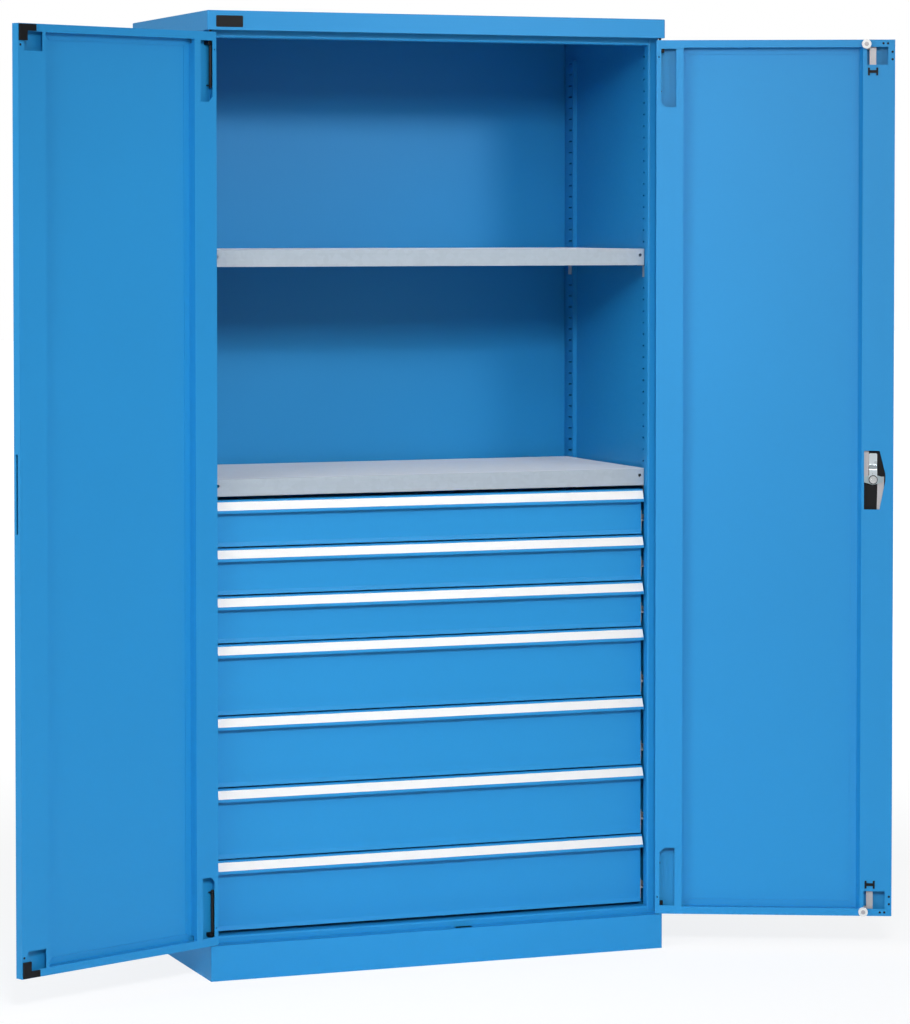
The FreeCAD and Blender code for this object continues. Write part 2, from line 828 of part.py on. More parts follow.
def hinge_pins():
    """A pin at the top and bottom of a door, each held by the end of the door and the ear of a bracket."""
    top_end = cap_bottom + hinge_plate_lift + hinge_plate_sheet + pin_end
    bottom_end = plinth_height - plinth_sheet - hinge_plate_sheet - pin_end
    pieces = []
    for end, edge, way in ((top_end, door_head, -1), (bottom_end, door_foot, 1)):
        near = edge + way * pin_bracket_start
        far = near + way * pin_bracket_length
        pieces.append(rod(pin_radius, V(pin_from_edge, pin_from_face, end),
                          V(pin_from_edge, pin_from_face, far + way * pin_tail)))
        front = door_sheet
        back = front + pin_bracket_depth
        wall = box(door_sheet, door_sheet + pin_bracket_sheet, front, back,
                   min(near, far), max(near, far))
        ear_low = min(far, far - way * pin_bracket_sheet)
        ear = box(door_sheet, pin_bracket_reach, front, back, ear_low, ear_low + pin_bracket_sheet)
        hole = rod(pin_radius + pin_play, V(pin_from_edge, pin_from_face, ear_low - overrun),
                   V(pin_from_edge, pin_from_face, ear_low + pin_bracket_sheet + overrun))
        pieces.append(wall.fuse(ear).removeSplitter().cut(hole))
    return pieces


def corner_blocks():
    """Black L-shaped blocks on the free corners of the left door."""
    far = door_width - corner_block_inset
    near = far - corner_block_length
    arm = far - corner_block_arm_width
    high = door_head - corner_block_inset
    low = high - corner_block_width
    end = high - corner_block_arm
    points = [(near, high), (near, low), (arm, low), (arm, end), (far, end), (far, high)]
    block = prism(points, [0] * len(points), on_front(door_thickness), V(0, corner_block_thickness, 0))
    return both_ends(block)


# Lock, in the coordinates of the right door


def lock_window(growth, v_low, v_high):
    """The many-sided cut-out round the lock, or a block of that outline."""
    left = lock_u - lock_window_left - growth
    shoulder = lock_u + lock_window_right + growth
    point = lock_u + lock_window_point + growth
    low = door_middle - lock_window_fall - growth
    high = door_middle + lock_window_rise + growth
    points = [(left, low), (shoulder, low), (point, door_middle - lock_point_low),
              (point, door_middle + lock_point_high), (shoulder, high), (left, high)]
    return prism(points, [0] * len(points), on_front(v_low), V(0, v_high - v_low, 0))


def roller_notch():
    """The opening at the top edge of the door through which the roller's axle and bracket rise."""
    level = door_head - roller_end
    gap = axle_radius + notch_gap
    axle_way = box(roller_u - gap, roller_u + gap, rod_low - notch_gap, door_thickness + overrun,
                   level - gap, door_head + overrun)
    bracket_far = lock_u - rod_guide_offset + rod_width / 2
    bracket_way = box(roller_u - bracket_lap - notch_gap, bracket_far + notch_gap,
                      rod_low - notch_gap, rod_high + notch_gap, door_head - door_sheet - overrun,
                      door_head + overrun)
    return axle_way.fuse(bracket_way)


def tongue_slot(rise, fall):
    """A slot in the free edge of a door for the tongue."""
    return box(door_width - door_sheet - overrun, door_width + overrun, strike_low, strike_high,
               door_middle - fall, door_middle + rise)


def prong_places():
    """Where the prongs of a rod guide stand, from left to right."""
    rod_middle = lock_u - rod_guide_offset
    offset = rod_width / 2 + running_gap
    return (rod_middle - offset - prong_width, rod_middle + offset)


def guide_holes():
    """Holes in the stile for the prongs of the top rod guide."""
    level = door_head - guide_end
    gap = prong_hole_gap
    holes = []
    for near in prong_places():
        holes.append(box(near - gap, near + prong_width + gap, frame_low - overrun, door_thickness + overrun,
                         level - prong_length / 2 - gap, level + prong_length / 2 + gap))
    return holes


def rod_guides():
    """Black H-shaped clips whose prongs keep the rods in line."""
    level = door_head - guide_end
    middle = lock_u - rod_guide_offset
    half = guide_width / 2
    tall = guide_height / 2
    high = door_thickness + guide_thickness
    bar = box(middle - half, middle + half, door_thickness, high, level - guide_bar_height / 2,
              level + guide_bar_height / 2)
    legs = []
    for start in (middle - half, middle + half - guide_leg_width):
        legs.append(box(start, start + guide_leg_width, door_thickness, high, level - tall, level + tall))
    prongs = []
    for near in prong_places():
        prongs.append(box(near, near + prong_width, rod_low - running_gap, high,
                          level - prong_length / 2, level + prong_length / 2))
    return both_ends(bar.fuse(legs + prongs).removeSplitter())


def lock_housing():
    """The black plate behind the lock window, with a bore for the spindle."""
    body = lock_window(housing_lap, door_sheet, housing_top)
    centre = V(lock_u, -overrun, door_middle)
    return body.cut(rod(spindle_neck_radius + seat_gap, centre, centre + V(0, door_thickness + overrun, 0)))


def lock_rod(edge, way):
    """A lock rod, from the drive plate to the bracket with the roller's axle: up for 1, down for -1."""
    low = door_middle - way * rod_tail
    half = rod_width / 2
    foot = lock_u - way * rod_offset
    head = lock_u - rod_guide_offset
    bend_level = edge - way * (guide_end + rod_straight)
    roller_level = edge - way * roller_end
    top = roller_level + way * bracket_end
    shoulder = top - way * bracket_height
    bracket = roller_u - bracket_lap
    points = [(foot - half, low), (foot + half, low), (head + half, bend_level), (head + half, top),
              (bracket, top), (bracket, shoulder), (head - half, shoulder), (head - half, bend_level)]
    body = prism(points, [0] * len(points), on_front(rod_low), V(0, rod_thickness, 0))
    axle_end = door_thickness + roller_float + roller_thickness + seat_gap
    axle = rod(axle_radius, V(roller_u, rod_high - rod_thickness / 2, roller_level),
               V(roller_u, axle_end, roller_level))
    head_start = V(roller_u, axle_end, roller_level)
    axle_head = rod(axle_head_radius, head_start, head_start + V(0, axle_head_height, 0))
    return body.fuse([axle, axle_head]).removeSplitter()


def roller(level):
    """A plastic roller on its axle."""
    face = door_thickness + roller_float
    start = V(roller_u, face, level)
    body = rod(roller_radius, start, start + V(0, roller_thickness, 0))
    bore = rod(axle_radius + pin_play, start - V(0, overrun, 0), start + V(0, roller_thickness + overrun, 0))
    return body.cut(bore)


def drive_plate():
    """The eye-shaped plate that moves both rods, with a rivet at each end."""
    length = drive_plate_half_length
    height = drive_plate_half_height
    tip = drive_plate_tip
    points = [(lock_u - length, door_middle - tip), (lock_u, door_middle - height),
              (lock_u + length, door_middle - tip), (lock_u + length, door_middle + tip),
              (lock_u, door_middle + height), (lock_u - length, door_middle + tip)]
    radii = [0, height, 0, 0, height, 0]
    body = prism(points, radii, on_front(drive_plate_low), V(0, drive_plate_thickness, 0))
    top = drive_plate_low + drive_plate_thickness
    rivets = []
    for side in (-1, 1):
        place = V(lock_u + side * rod_offset, top, door_middle)
        rivets.append(rod(rivet_radius, place, place + V(0, rivet_height, 0)))
    hole = spindle_half_width + pin_play
    square = box(lock_u - hole, lock_u + hole, -overrun, door_thickness + overrun,
                 door_middle - hole, door_middle + hole)
    return body.fuse(rivets).cut(square)


def lock_tongue():
    """A cranked tongue: its root lies on the drive plate and its tip lies deeper in the door."""
    root_low = drive_plate_low + drive_plate_thickness
    half = tongue_thickness / 2
    step_end = tongue_step_start + tongue_step_length
    root = root_low + half
    tip = tongue_tip_low + half
    path = [(root, door_middle - tongue_half_width), (root, door_middle + tongue_step_start),
            (tip, door_middle + step_end), (tip, door_middle + tongue_length)]
    body = sheet(path, [inside_bend, inside_bend], tongue_thickness, on_section(lock_u - tongue_half_width),
                 V(tongue_half_width * 2, 0, 0))
    hole = spindle_half_width + pin_play
    square = box(lock_u - hole, lock_u + hole, -overrun, door_thickness + overrun,
                 door_middle - hole, door_middle + hole)
    outline_block = prism([(lock_u - tongue_half_width, door_middle - tongue_half_width),
                           (lock_u + tongue_half_width, door_middle - tongue_half_width),
                           (lock_u + tongue_half_width, door_middle + tongue_length),
                           (lock_u - tongue_half_width, door_middle + tongue_length)],
                          [tongue_half_width - pin_play] * 2 + [tongue_end_corner] * 2,
                          on_front(0), V(0, door_thickness + overrun, 0))
    return body.common(outline_block).cut(square)


def lock_spindle():
    """A square spindle with a round neck and a slotted screw on its inner end."""
    neck_end = housing_top
    root_top = drive_plate_low + drive_plate_thickness + tongue_thickness
    half = spindle_half_width
    neck = rod(spindle_neck_radius, V(lock_u, -escutcheon_thickness - handle_gap, door_middle),
               V(lock_u, neck_end, door_middle))
    square = box(lock_u - half, lock_u + half, neck_end - overrun, root_top,
                 door_middle - half, door_middle + half)
    start = V(lock_u, root_top, door_middle)
    screw = rod(screw_radius, start, start + V(0, screw_height, 0))
    slot = box(lock_u - screw_radius - overrun, lock_u + screw_radius + overrun,
               root_top + screw_height - screw_slot_depth, root_top + screw_height + overrun,
               door_middle - screw_slot_width / 2, door_middle + screw_slot_width / 2)
    return neck.fuse([square, screw]).removeSplitter().cut(slot)


def escutcheon():
    """The plate round the handle on the outer face."""
    half = escutcheon_width / 2
    tall = escutcheon_height / 2
    points = [(lock_u - half, door_middle - tall), (lock_u + half, door_middle - tall),
              (lock_u + half, door_middle + tall), (lock_u - half, door_middle + tall)]
    body = prism(points, [escutcheon_corner] * len(points), on_front(-escutcheon_thickness),
                 V(0, escutcheon_thickness, 0))
    centre = V(lock_u, -escutcheon_thickness - overrun, door_middle)
    way = V(0, escutcheon_thickness + overrun * 2, 0)
    return body.cut(rod(spindle_neck_radius + pin_play, centre, centre + way))


def turning_handle():
    """A bar handle that lies level when the lock is open, bored for the key cylinder."""
    back = -escutcheon_thickness - handle_gap
    half = handle_half_width
    length = handle_half_length
    points = [(lock_u - length, door_middle - half), (lock_u + length, door_middle - half),
              (lock_u + length, door_middle + half), (lock_u - length, door_middle + half)]
    body = prism(points, [handle_corner] * len(points), on_front(back - handle_thickness),
                 V(0, handle_thickness, 0))
    front = back - handle_thickness
    body = chamfer(body, handle_slope, lambda edge: edge.BoundBox.YMax < front + closeness)
    bore_start = V(lock_u, front - overrun, door_middle)
    bore = rod(cylinder_radius + pin_play, bore_start, bore_start + V(0, overrun + cylinder_depth, 0))
    return body.cut(bore)


def key_cylinder():
    """The round key cylinder, with a slot for the key."""
    front = -escutcheon_thickness - handle_gap - handle_thickness
    start = V(lock_u, front - cylinder_proud, door_middle)
    body = rod(cylinder_radius, start, start + V(0, cylinder_proud + cylinder_depth, 0))
    slot = box(lock_u - key_slot_width / 2, lock_u + key_slot_width / 2,
               front - overrun, front + key_slot_depth,
               door_middle - key_slot_length / 2, door_middle + key_slot_length / 2)
    return body.cut(slot)


def make_carcass():
    """Writes the nodes that stay still."""
    save("plinth", plinth())
    right = side_panel()
    save("right_side_panel", right)
    save("left_side_panel", right.mirror(V(0, 0, 0), V(1, 0, 0)))
    save("back_panel", back_panel())
    save("top_cap", top_cap())
    save("top_rail", top_rail())
    save("floor_panel", floor_panel())
    uprights = []
    for place in (front_upright_set, rear_upright_set):
        uprights += on_both_sides(upright(place))
    save("perforated_uprights", *uprights)
    save("lower_shelf", shelf(lower_shelf_height))
    save("upper_shelf", shelf(upper_shelf_height))
    clips = []
    for level in (lower_shelf_height, upper_shelf_height):
        for place in (front_upright_set, rear_upright_set):
            clips += on_both_sides(shelf_clip(level, place))
    save("shelf_clips", *clips)
    save("hinge_plates", *hinge_plates())


def make_drawers():
    """Writes the drawers from the bottom up, and their slides."""
    foot = floor_top + drawer_floor_gap
    fixed = []
    for number, height in enumerate(drawer_heights, 1):
        save("drawer_%d_front" % number, drawer_front(foot, height))
        save("drawer_%d_label_strip" % number, label_strip(foot, height))
        save("drawer_%d_box" % number, drawer_box(foot, height))
        save("drawer_%d_middle_rails" % number, *on_both_sides(middle_rail(foot)))
        fixed += on_both_sides(outer_rail(foot))
        foot += height
    save("fixed_slide_rails", *fixed)


def make_doors():
    """Writes both doors, opened as photographed."""
    skin = door_skin()
    frame = door_frame()
    pins = hinge_pins()
    save("left_door_skin", hang(skin.cut(tongue_slot(strike_rise, strike_fall)), -1))
    save("left_door_frame", hang(frame, -1))
    save("left_door_hinge_pins", *[hang(piece, -1) for piece in pins])
    save("left_door_corner_blocks", *[hang(piece, -1) for piece in corner_blocks()])
    notches = both_ends(roller_notch())
    neck_start = V(lock_u, -overrun, door_middle)
    neck_hole = rod(spindle_neck_radius + seat_gap, neck_start, neck_start + V(0, overrun * 2, 0))
    right_skin = skin.cut(notches + [neck_hole, tongue_slot(tongue_slot_rise, tongue_slot_fall)])
    save("right_door_skin", hang(right_skin, 1))
    cuts = notches + [lock_window(0, frame_low - overrun, door_thickness + overrun)]
    for hole in guide_holes():
        cuts += both_ends(hole)
    save("right_door_frame", hang(frame.cut(cuts), 1))
    save("right_door_hinge_pins", *[hang(piece, 1) for piece in pins])


def make_lock():
    """Writes the lock of the right door."""
    save("rod_guides", *[hang(piece, 1) for piece in rod_guides()])
    save("lock_housing", hang(lock_housing(), 1))
    save("lock_escutcheon", hang(escutcheon(), 1))
    save("turning_handle", hang(turning_handle(), 1))
    save("key_cylinder", hang(key_cylinder(), 1))
    save("lock_spindle", hang(lock_spindle(), 1))
    save("lock_drive_plate", hang(drive_plate(), 1))
    save("lock_tongue", hang(lock_tongue(), 1))
    save("upper_lock_rod", hang(lock_rod(door_head, 1), 1))
    save("lower_lock_rod", hang(lock_rod(door_foot, -1), 1))
    save("upper_lock_roller", hang(roller(door_head - roller_end), 1))
    save("lower_lock_roller", hang(roller(door_foot + roller_end), 1))


os.makedirs("parts", exist_ok=True)
make_carcass()
make_drawers()
make_doors()
make_lock()
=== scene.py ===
import json
import math

import bpy
from mathutils import Matrix, Vector


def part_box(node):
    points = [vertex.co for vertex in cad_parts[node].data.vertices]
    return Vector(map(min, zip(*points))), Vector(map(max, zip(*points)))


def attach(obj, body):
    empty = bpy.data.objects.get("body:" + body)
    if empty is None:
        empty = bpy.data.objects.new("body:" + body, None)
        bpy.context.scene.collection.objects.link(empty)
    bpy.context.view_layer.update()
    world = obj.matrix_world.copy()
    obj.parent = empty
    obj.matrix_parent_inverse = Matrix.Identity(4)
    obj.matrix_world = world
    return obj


bl_info = {
    "name": "Tool Cabinet Looks",
    "version": (1, 0, 0),
    "blender": (4, 5, 0),
    "location": "3D Viewport > Sidebar > Cabinet",
    "description": "Finishes, small hardware and a studio stage for a tool cabinet with doors",
    "category": "Object",
}

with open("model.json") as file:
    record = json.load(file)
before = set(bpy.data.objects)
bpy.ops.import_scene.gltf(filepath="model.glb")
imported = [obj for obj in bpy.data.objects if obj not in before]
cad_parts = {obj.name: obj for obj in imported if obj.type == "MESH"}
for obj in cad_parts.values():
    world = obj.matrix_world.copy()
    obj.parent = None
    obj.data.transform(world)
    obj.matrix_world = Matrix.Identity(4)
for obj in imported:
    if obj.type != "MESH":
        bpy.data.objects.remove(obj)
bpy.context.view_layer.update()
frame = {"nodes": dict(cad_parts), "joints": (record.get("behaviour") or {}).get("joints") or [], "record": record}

# Record slots
BLUE = "blue_paint"
GALVANISED = "galvanised_steel"
BRIGHT = "bright_steel"
BLACK = "black_plastic"
WHITE = "white_plastic"
STRIP = "white_strip"

# Finishes that only this scene uses, for steel that shows darker or brighter than the rest: painted shade on the
# lock's drive plate, painted highlight on its tongue and screw, and on the hinge pins partly their own dark and
# partly painted shade in the doors' cut-outs
DARK = "dark_steel"
PLATE = "bright_plate"
TONGUE = "bright_tongue"
SCREW = "bright_screw"
NODE_FINISH = {
    "left_door_hinge_pins": DARK,
    "right_door_hinge_pins": DARK,
    "lock_drive_plate": PLATE,
    "lock_tongue": TONGUE,
    "lock_spindle": SCREW,
}
MATERIAL_NAMES = {
    BLUE: "Blue powder coat",
    GALVANISED: "Galvanised sheet",
    BRIGHT: "Bright zinc",
    PLATE: "Zinc on the drive plate",
    TONGUE: "Zinc on the tongue",
    SCREW: "Polished screw",
    BLACK: "Black plastic",
    DARK: "Blackened steel",
    WHITE: "White plastic",
    STRIP: "White strip",
}

# Depth of the relief of each kind of surface, in metres
SPANGLE_RELIEF = 0.000001
DRAWN_RELIEF = 0.00001
DARK_RELIEF = 0.000005
BLACK_RELIEF = 0.00004
WHITE_RELIEF = 0.00002
STRIP_RELIEF = 0.00001

# How far the outlines of the zinc crystals wander, in metres
SPANGLE_WARP = (0.012, 0.012, 0.012)

# The part of the powder coat's relief that its coarser skin makes; the fine grain makes the rest
SKIN_SHARE = 0.65

# Sides and steps of the small round pieces
DOME_SEGMENTS = 20
DOME_RINGS = 12
HEAD_SIDES = 24
KEY_SIDES = 6
CORNER_STEPS = 6
RING_STEPS = 48

# Height at which a ball of radius 1 is cut to make a dome: just under its middle, which keeps the rim
DOME_CUT = -0.01

# Middles of a screw head and of what cuts its recess, as shares of the head's height, and the recess's radius
# as a share of the head's
HEAD_MIDDLE = 0.5
KEY_MIDDLE = 1.1
KEY_SHARE = 0.5

# Seed of the turns by chance that the repeated pieces get
SPIN_SEED = 7

# An edge stays sharp where the surface turns by more than these angles
PLATE_SHARP = math.radians(25)
RIVET_SHARP = math.radians(40)

DRAWERS = 7

# Camera: width of its sensor in millimetres, and the nearest and farthest distances that it sees
SENSOR_WIDTH = 36.0
CLIP_NEAR = 0.1
CLIP_FAR = 200.0

# Each light: its name, its power setting, place, target, width, height and spread in degrees
LIGHTS = (
    ("Front light", "front_power", (-1.5, -5.5, 3.2), (-0.15, -0.2, 0.15), 1.2, 0.8, 50),
    ("Upper light", "upper_power", (1.6, -4.2, 3.2), (0.15, -0.03, 1.9), 0.8, 0.5, 34),
    ("Left light", "left_power", (-6.0, -2.0, 3.5), (0.0, 0.0, 0.9), 2.5, 2.5, 180),
    ("Inner light", "inner_power", (-3.2, -3.0, 3.0), (0.51, 0.3, 1.1), 0.9, 0.7, 40),
    ("Back light", "back_power", (2.5, 6.5, 4.0), (0.0, 0.0, 0.9), 2.5, 2.5, 180),
)

# Colours of the surroundings and of the floor: what the camera sees, and what lights the cabinet
SEEN_WHITE = (1.0, 1.0, 1.0, 1.0)
FILL_COLOUR = (0.97, 0.985, 1.0, 1.0)
FLOOR_SHADE = (0.25, 0.25, 0.25, 1.0)
FLOOR_BOUNCE = (0.92, 0.92, 0.92, 1.0)

# Floor: half its width, and the distances between which its glow grows to full, from its level at the cabinet
FLOOR_REACH = 40.0
GLOW_NEAR = 1.6
GLOW_FAR = 5.0
GLOW_LEVEL = 0.79


# Settings


def length(name, description, default):
    """A length property in metres."""
    return bpy.props.FloatProperty(
        name=name, description=description, default=default, unit="LENGTH", precision=5
    )


def colour(name, description, default):
    """A linear colour property."""
    return bpy.props.FloatVectorProperty(
        name=name, description=description, default=default, subtype="COLOR", size=3, min=0.0, max=1.0
    )


def share(name, description, default):
    """A property from 0 to 1."""
    return bpy.props.FloatProperty(
        name=name, description=description, default=default, subtype="FACTOR", min=0.0, max=1.0
    )


def power(name, description, default):
    """A light's power in watts."""
    return bpy.props.FloatProperty(name=name, description=description, default=default, subtype="POWER")


def turn(name, description, default):
    """An angle property in radians."""
    return bpy.props.FloatProperty(name=name, description=description, default=default, subtype="ANGLE")


class CabinetFinish(bpy.types.PropertyGroup):
    """Colours and surface values of the finishes."""

    blue: colour("Blue", "Powder coat on all painted sheets", (0.016, 0.260, 0.585))
    blue_roughness: share("Blue roughness", "Roughness of the powder coat", 0.42)
    blue_relief: length("Blue relief", "Depth of the powder coat's fine grain", 0.00006)
    zinc: colour("Zinc", "Galvanised shelves, slides and drawer boxes", (0.37, 0.43, 0.49))
    zinc_roughness: share("Zinc roughness", "Roughness of the galvanised sheet", 0.5)
    zinc_metal: share("Zinc metal", "How much the galvanised sheet mirrors its surroundings", 0.2)
    # Painted sheen: it brightens the shelf tops at a flat angle, in place of light from above
    zinc_painted_sheen: share("Zinc painted sheen", "How much the galvanised sheet brightens at a flat angle", 0.6)
    bright: colour("Bright steel", "Zinc-plated rods and small parts", (0.50, 0.48, 0.49))
    # Painted shade on the drive plate, painted highlight on the tongue and the screw: the one zinc plating made
    # darker or lighter
    bright_plate: colour("Bright plate", "Zinc-plated drive plate of the lock", (0.42, 0.50, 0.53))
    bright_tongue: colour("Bright tongue", "Zinc-plated tongue of the lock", (0.78, 0.86, 0.90))
    bright_screw: colour("Bright screw", "Polished screw on the spindle of the lock", (0.95, 0.97, 0.97))
    black: colour("Black", "Black plastic of the lock, the blocks and the shade dots", (0.006, 0.006, 0.007))
    # The pins' near-black is partly their own colour and partly painted shade in the doors' hinge cut-outs
    dark: colour("Dark", "Blackened steel of the hinge pins and their brackets", (0.02, 0.02, 0.022))
    white: colour("White", "White plastic of the rollers", (0.80, 0.80, 0.78))
    strip: colour("Strip", "White strips in the drawer handles", (0.80, 0.80, 0.79))


class CabinetHardware(bpy.types.PropertyGroup):
    """Sizes of the small hardware."""

    rivet_radius: length("Rivet radius", "Head radius of the rivets on the back panel", 0.0032)
    rivet_height: length("Rivet height", "Head height of the rivets on the back panel", 0.0011)
    rivet_pitch: length("Rivet pitch", "Distance between the rivets", 0.148)
    rivet_inset: length("Rivet inset", "Distance from the rivets to the panel's edge", 0.014)
    screw_radius: length("Screw radius", "Head radius of the screws that hold the slides", 0.0034)
    screw_height: length("Screw height", "Head height of the screws that hold the slides", 0.0019)
    screw_front: length("Screw front", "From the front end of a middle rail to the first screw", 0.0170)
    screw_back: length("Screw back", "From the back end of a middle rail to the second screw", 0.0150)
    screw_lift: length("Screw lift", "From the middle of a rail up to its screws", 0.0072)
    bracket_sheet: length("Bracket sheet", "Sheet between the screws and the outer ends of the rails", 0.0012)
    plate_width: length("Plate width", "Width of the blank plate on the cap", 0.0575)
    plate_height: length("Plate height", "Height of the blank plate on the cap", 0.0235)
    plate_depth: length("Plate depth", "Thickness of the blank plate on the cap", 0.0012)
    plate_corner: length("Plate corner", "Corner radius of the blank plate", 0.0025)
    plate_slope: share("Plate slope", "Slope round the blank plate, as a share of its thickness", 0.4)
    plate_left: length("Plate left", "From the cap's left end to the blank plate", 0.0185)
    plate_drop: length("Plate drop", "From the cap's top to the blank plate", 0.0105)
    block_reach: length("Block reach", "How far a pin block reaches over the door's inside", 0.0158)
    block_height: length("Block height", "Height of a pin block", 0.0075)
    block_depth: length("Block depth", "Depth of a pin block", 0.0140)
    block_corner: length("Block corner", "Corner radius of a pin block", 0.0008)
    block_slope: length("Block slope", "Slope round the inner face of a pin block", 0.0006)
    block_inset: length("Block inset", "From the end of the door to a pin block", 0.0185)
    pin_inset: length("Pin inset", "From the hinge edge of a door to its pins", 0.0070)
    pin_depth: length("Pin depth", "From the outer face of a door to its pins", 0.0090)
    door_sheet: length("Door sheet", "Thickness of a door's outer sheet", 0.0012)
    door_depth: length("Door depth", "Thickness of a door", 0.0200)
    # Black domes on small holes in the doors: painted shade of the hollow behind the holes
    shade_dot_radius: length("Shade dot radius", "Radius of a shade dot in a small hole", 0.0025)
    shade_dot_height: length("Shade dot height", "How far a shade dot stands out", 0.0004)
    shade_dot_edge: length("Shade dot edge", "From the free edge of a door to its two shade dots there", 0.0055)
    shade_dot_high: length("Shade dot high", "From the end of a door to the first of them", 0.0260)
    shade_dot_low: length("Shade dot low", "From the end of a door to the second of them", 0.0420)
    shade_dot_drop: length("Shade dot drop", "From the end of a door to its two shade dots there", 0.0080)
    shade_dot_near: length("Shade dot near", "From the free edge to the first of them", 0.0155)
    shade_dot_far: length("Shade dot far", "From the free edge to the second of them", 0.0250)
    screw_head: length("Screw head", "Height of the lock's screw over the tongue", 0.0030)
    # A dark flat ring round the lock's screw, on the tongue
    ring_inner: length("Ring inner", "Inner radius of the dark ring under the lock's screw", 0.0079)
    ring_outer: length("Ring outer", "Outer radius of the dark ring under the lock's screw", 0.0096)
    ring_height: length("Ring height", "Thickness of the dark ring under the lock's screw", 0.0005)


class CabinetStage(bpy.types.PropertyGroup):
    """Camera and light."""

    lens: bpy.props.FloatProperty(name="Lens", description="Focal length in millimetres", default=131.448)
    shift: bpy.props.FloatProperty(name="Shift", description="Vertical shift of the lens", default=-0.145)
    camera_place: bpy.props.FloatVectorProperty(
        name="Camera place", description="Where the camera stands", default=(-2.7720, -7.6126, 1.5689),
        subtype="TRANSLATION", size=3
    )
    yaw: turn("Yaw", "Turn of the camera to the right of the cabinet's depth", 0.36486)
    pitch: turn("Pitch", "Downward tilt of the camera", 0.0381)
    front_power: power("Front power", "Power of the light over the front, aimed at the plinth", 17.5)
    upper_power: power("Upper power", "Power of the narrow light on the cap and the shelves", 2.3)
    left_power: power("Left power", "Power of the large light at the left", 104.0)
    inner_power: power("Inner power", "Power of the narrow light on the inside of the right panel", 1.3)
    back_power: power("Back power", "Power of the light behind the cabinet", 60.0)
    fill_level: share("Fill level", "Brightness of the light from all sides", 0.44)


# Node trees


class Net:
    """A short way to write a node tree."""

    # Sockets that can't be told apart by name: of a node that mixes colours, and of one that draws numbers
    MIX_FACTOR, MIX_FIRST, MIX_SECOND, MIX_RESULT = 0, 6, 7, 2
    DRAW_LEAST, DRAW_MOST, DRAW_RESULT = 2, 3, 1

    def __init__(self, tree):
        self.tree = tree

    def node(self, kind, **values):
        """Adds a node and sets its inputs; keys with a leading underscore are properties of the node."""
        made = self.tree.nodes.new(kind)
        for key, value in values.items():
            if key.startswith("_"):
                setattr(made, key[1:], value)
            else:
                self.feed(made.inputs[key.replace("_", " ")], value)
        return made

    def feed(self, socket, value):
        """Links an output to a socket, or sets the socket's value."""
        if isinstance(value, bpy.types.NodeSocket):
            self.tree.links.new(value, socket)
        else:
            socket.default_value = value

    def feed_all(self, made, *values):
        """Feeds the first inputs of a node, in their order."""
        for socket, value in zip(made.inputs, values):
            self.feed(socket, value)
        return made

    def math(self, operation, *values):
        """A math node's output."""
        return self.feed_all(self.node("ShaderNodeMath", _operation=operation), *values).outputs[0]

    def vector(self, operation, *values):
        """A vector math node's outputs."""
        return self.feed_all(self.node("ShaderNodeVectorMath", _operation=operation), *values).outputs

    def noise(self, place, scale, detail, rough=0.5, output="Fac"):
        """A noise node's output."""
        made = self.node("ShaderNodeTexNoise", Vector=place, Scale=scale, Detail=detail, Roughness=rough)
        return made.outputs[output]

    def toned(self, base, value, darkest, lightest):
        """A colour that a value from 0 to 1 makes darker and lighter."""
        tone = self.node("ShaderNodeMapRange", Value=value, To_Min=darkest, To_Max=lightest).outputs[0]
        grey = self.node("ShaderNodeCombineColor", Red=tone, Green=tone, Blue=tone).outputs[0]
        made = self.node("ShaderNodeMix", _data_type="RGBA", _blend_type="MULTIPLY")
        self.feed(made.inputs[self.MIX_FACTOR], 1.0)
        self.feed(made.inputs[self.MIX_FIRST], base)
        self.feed(made.inputs[self.MIX_SECOND], grey)
        return made.outputs[self.MIX_RESULT]

    def around(self, base, value, width):
        """A number that a value from 0 to 1 moves by half a width each way."""
        return self.math("MULTIPLY_ADD", value, width, self.math("ADD", base, -width / 2))


def add_socket(tree, way, label, kind, default=None):
    """Adds a named socket to a node group."""
    made = tree.interface.new_socket(name=label, in_out=way, socket_type="NodeSocket" + kind)
    if default is not None:
        made.default_value = default


def empty_net(owner):
    """The emptied node tree of a material or world."""
    owner.use_nodes = True
    owner.node_tree.nodes.clear()
    return Net(owner.node_tree)


# Finishes


def open_group(name, *own_inputs):
    """A new shader group's net, its given inputs and the object coordinates."""
    tree = bpy.data.node_groups.new(name, "ShaderNodeTree")
    add_socket(tree, "INPUT", "Colour", "Color")
    add_socket(tree, "INPUT", "Roughness", "Float")
    for label, kind, default in own_inputs:
        add_socket(tree, "INPUT", label, kind, default)
    add_socket(tree, "OUTPUT", "Base Color", "Color")
    add_socket(tree, "OUTPUT", "Roughness", "Float")
    add_socket(tree, "OUTPUT", "Bump Height", "Float")
    net = Net(tree)
    return net, net.node("NodeGroupInput").outputs, net.node("ShaderNodeTexCoord").outputs["Object"]


def close_group(net, base, roughness, height):
    """Feeds the outputs of a shader group and hands the group over."""
    net.node("NodeGroupOutput", Base_Color=base, Roughness=roughness, Bump_Height=height)
    return net.tree


def powder_group():
    """The fine orange skin of a powder coat, with a slow change of tone over large sheets."""
    net, given, place = open_group("Powder Coat")
    fine = net.noise(place, scale=620.0, detail=2.0, rough=0.55)
    skin = net.noise(place, scale=150.0, detail=1.0)
    slow = net.noise(place, scale=1.7, detail=2.0)
    speck = net.noise(place, scale=1400.0, detail=0.0)
    toned = net.toned(given["Colour"], slow, darkest=0.955, lightest=1.045)
    dotted = net.toned(toned, speck, darkest=0.97, lightest=1.03)
    height = net.math("MULTIPLY_ADD", skin, SKIN_SHARE, net.math("MULTIPLY", fine, 1.0 - SKIN_SHARE))
    return close_group(net, dotted, net.around(given["Roughness"], skin, width=0.10), height)


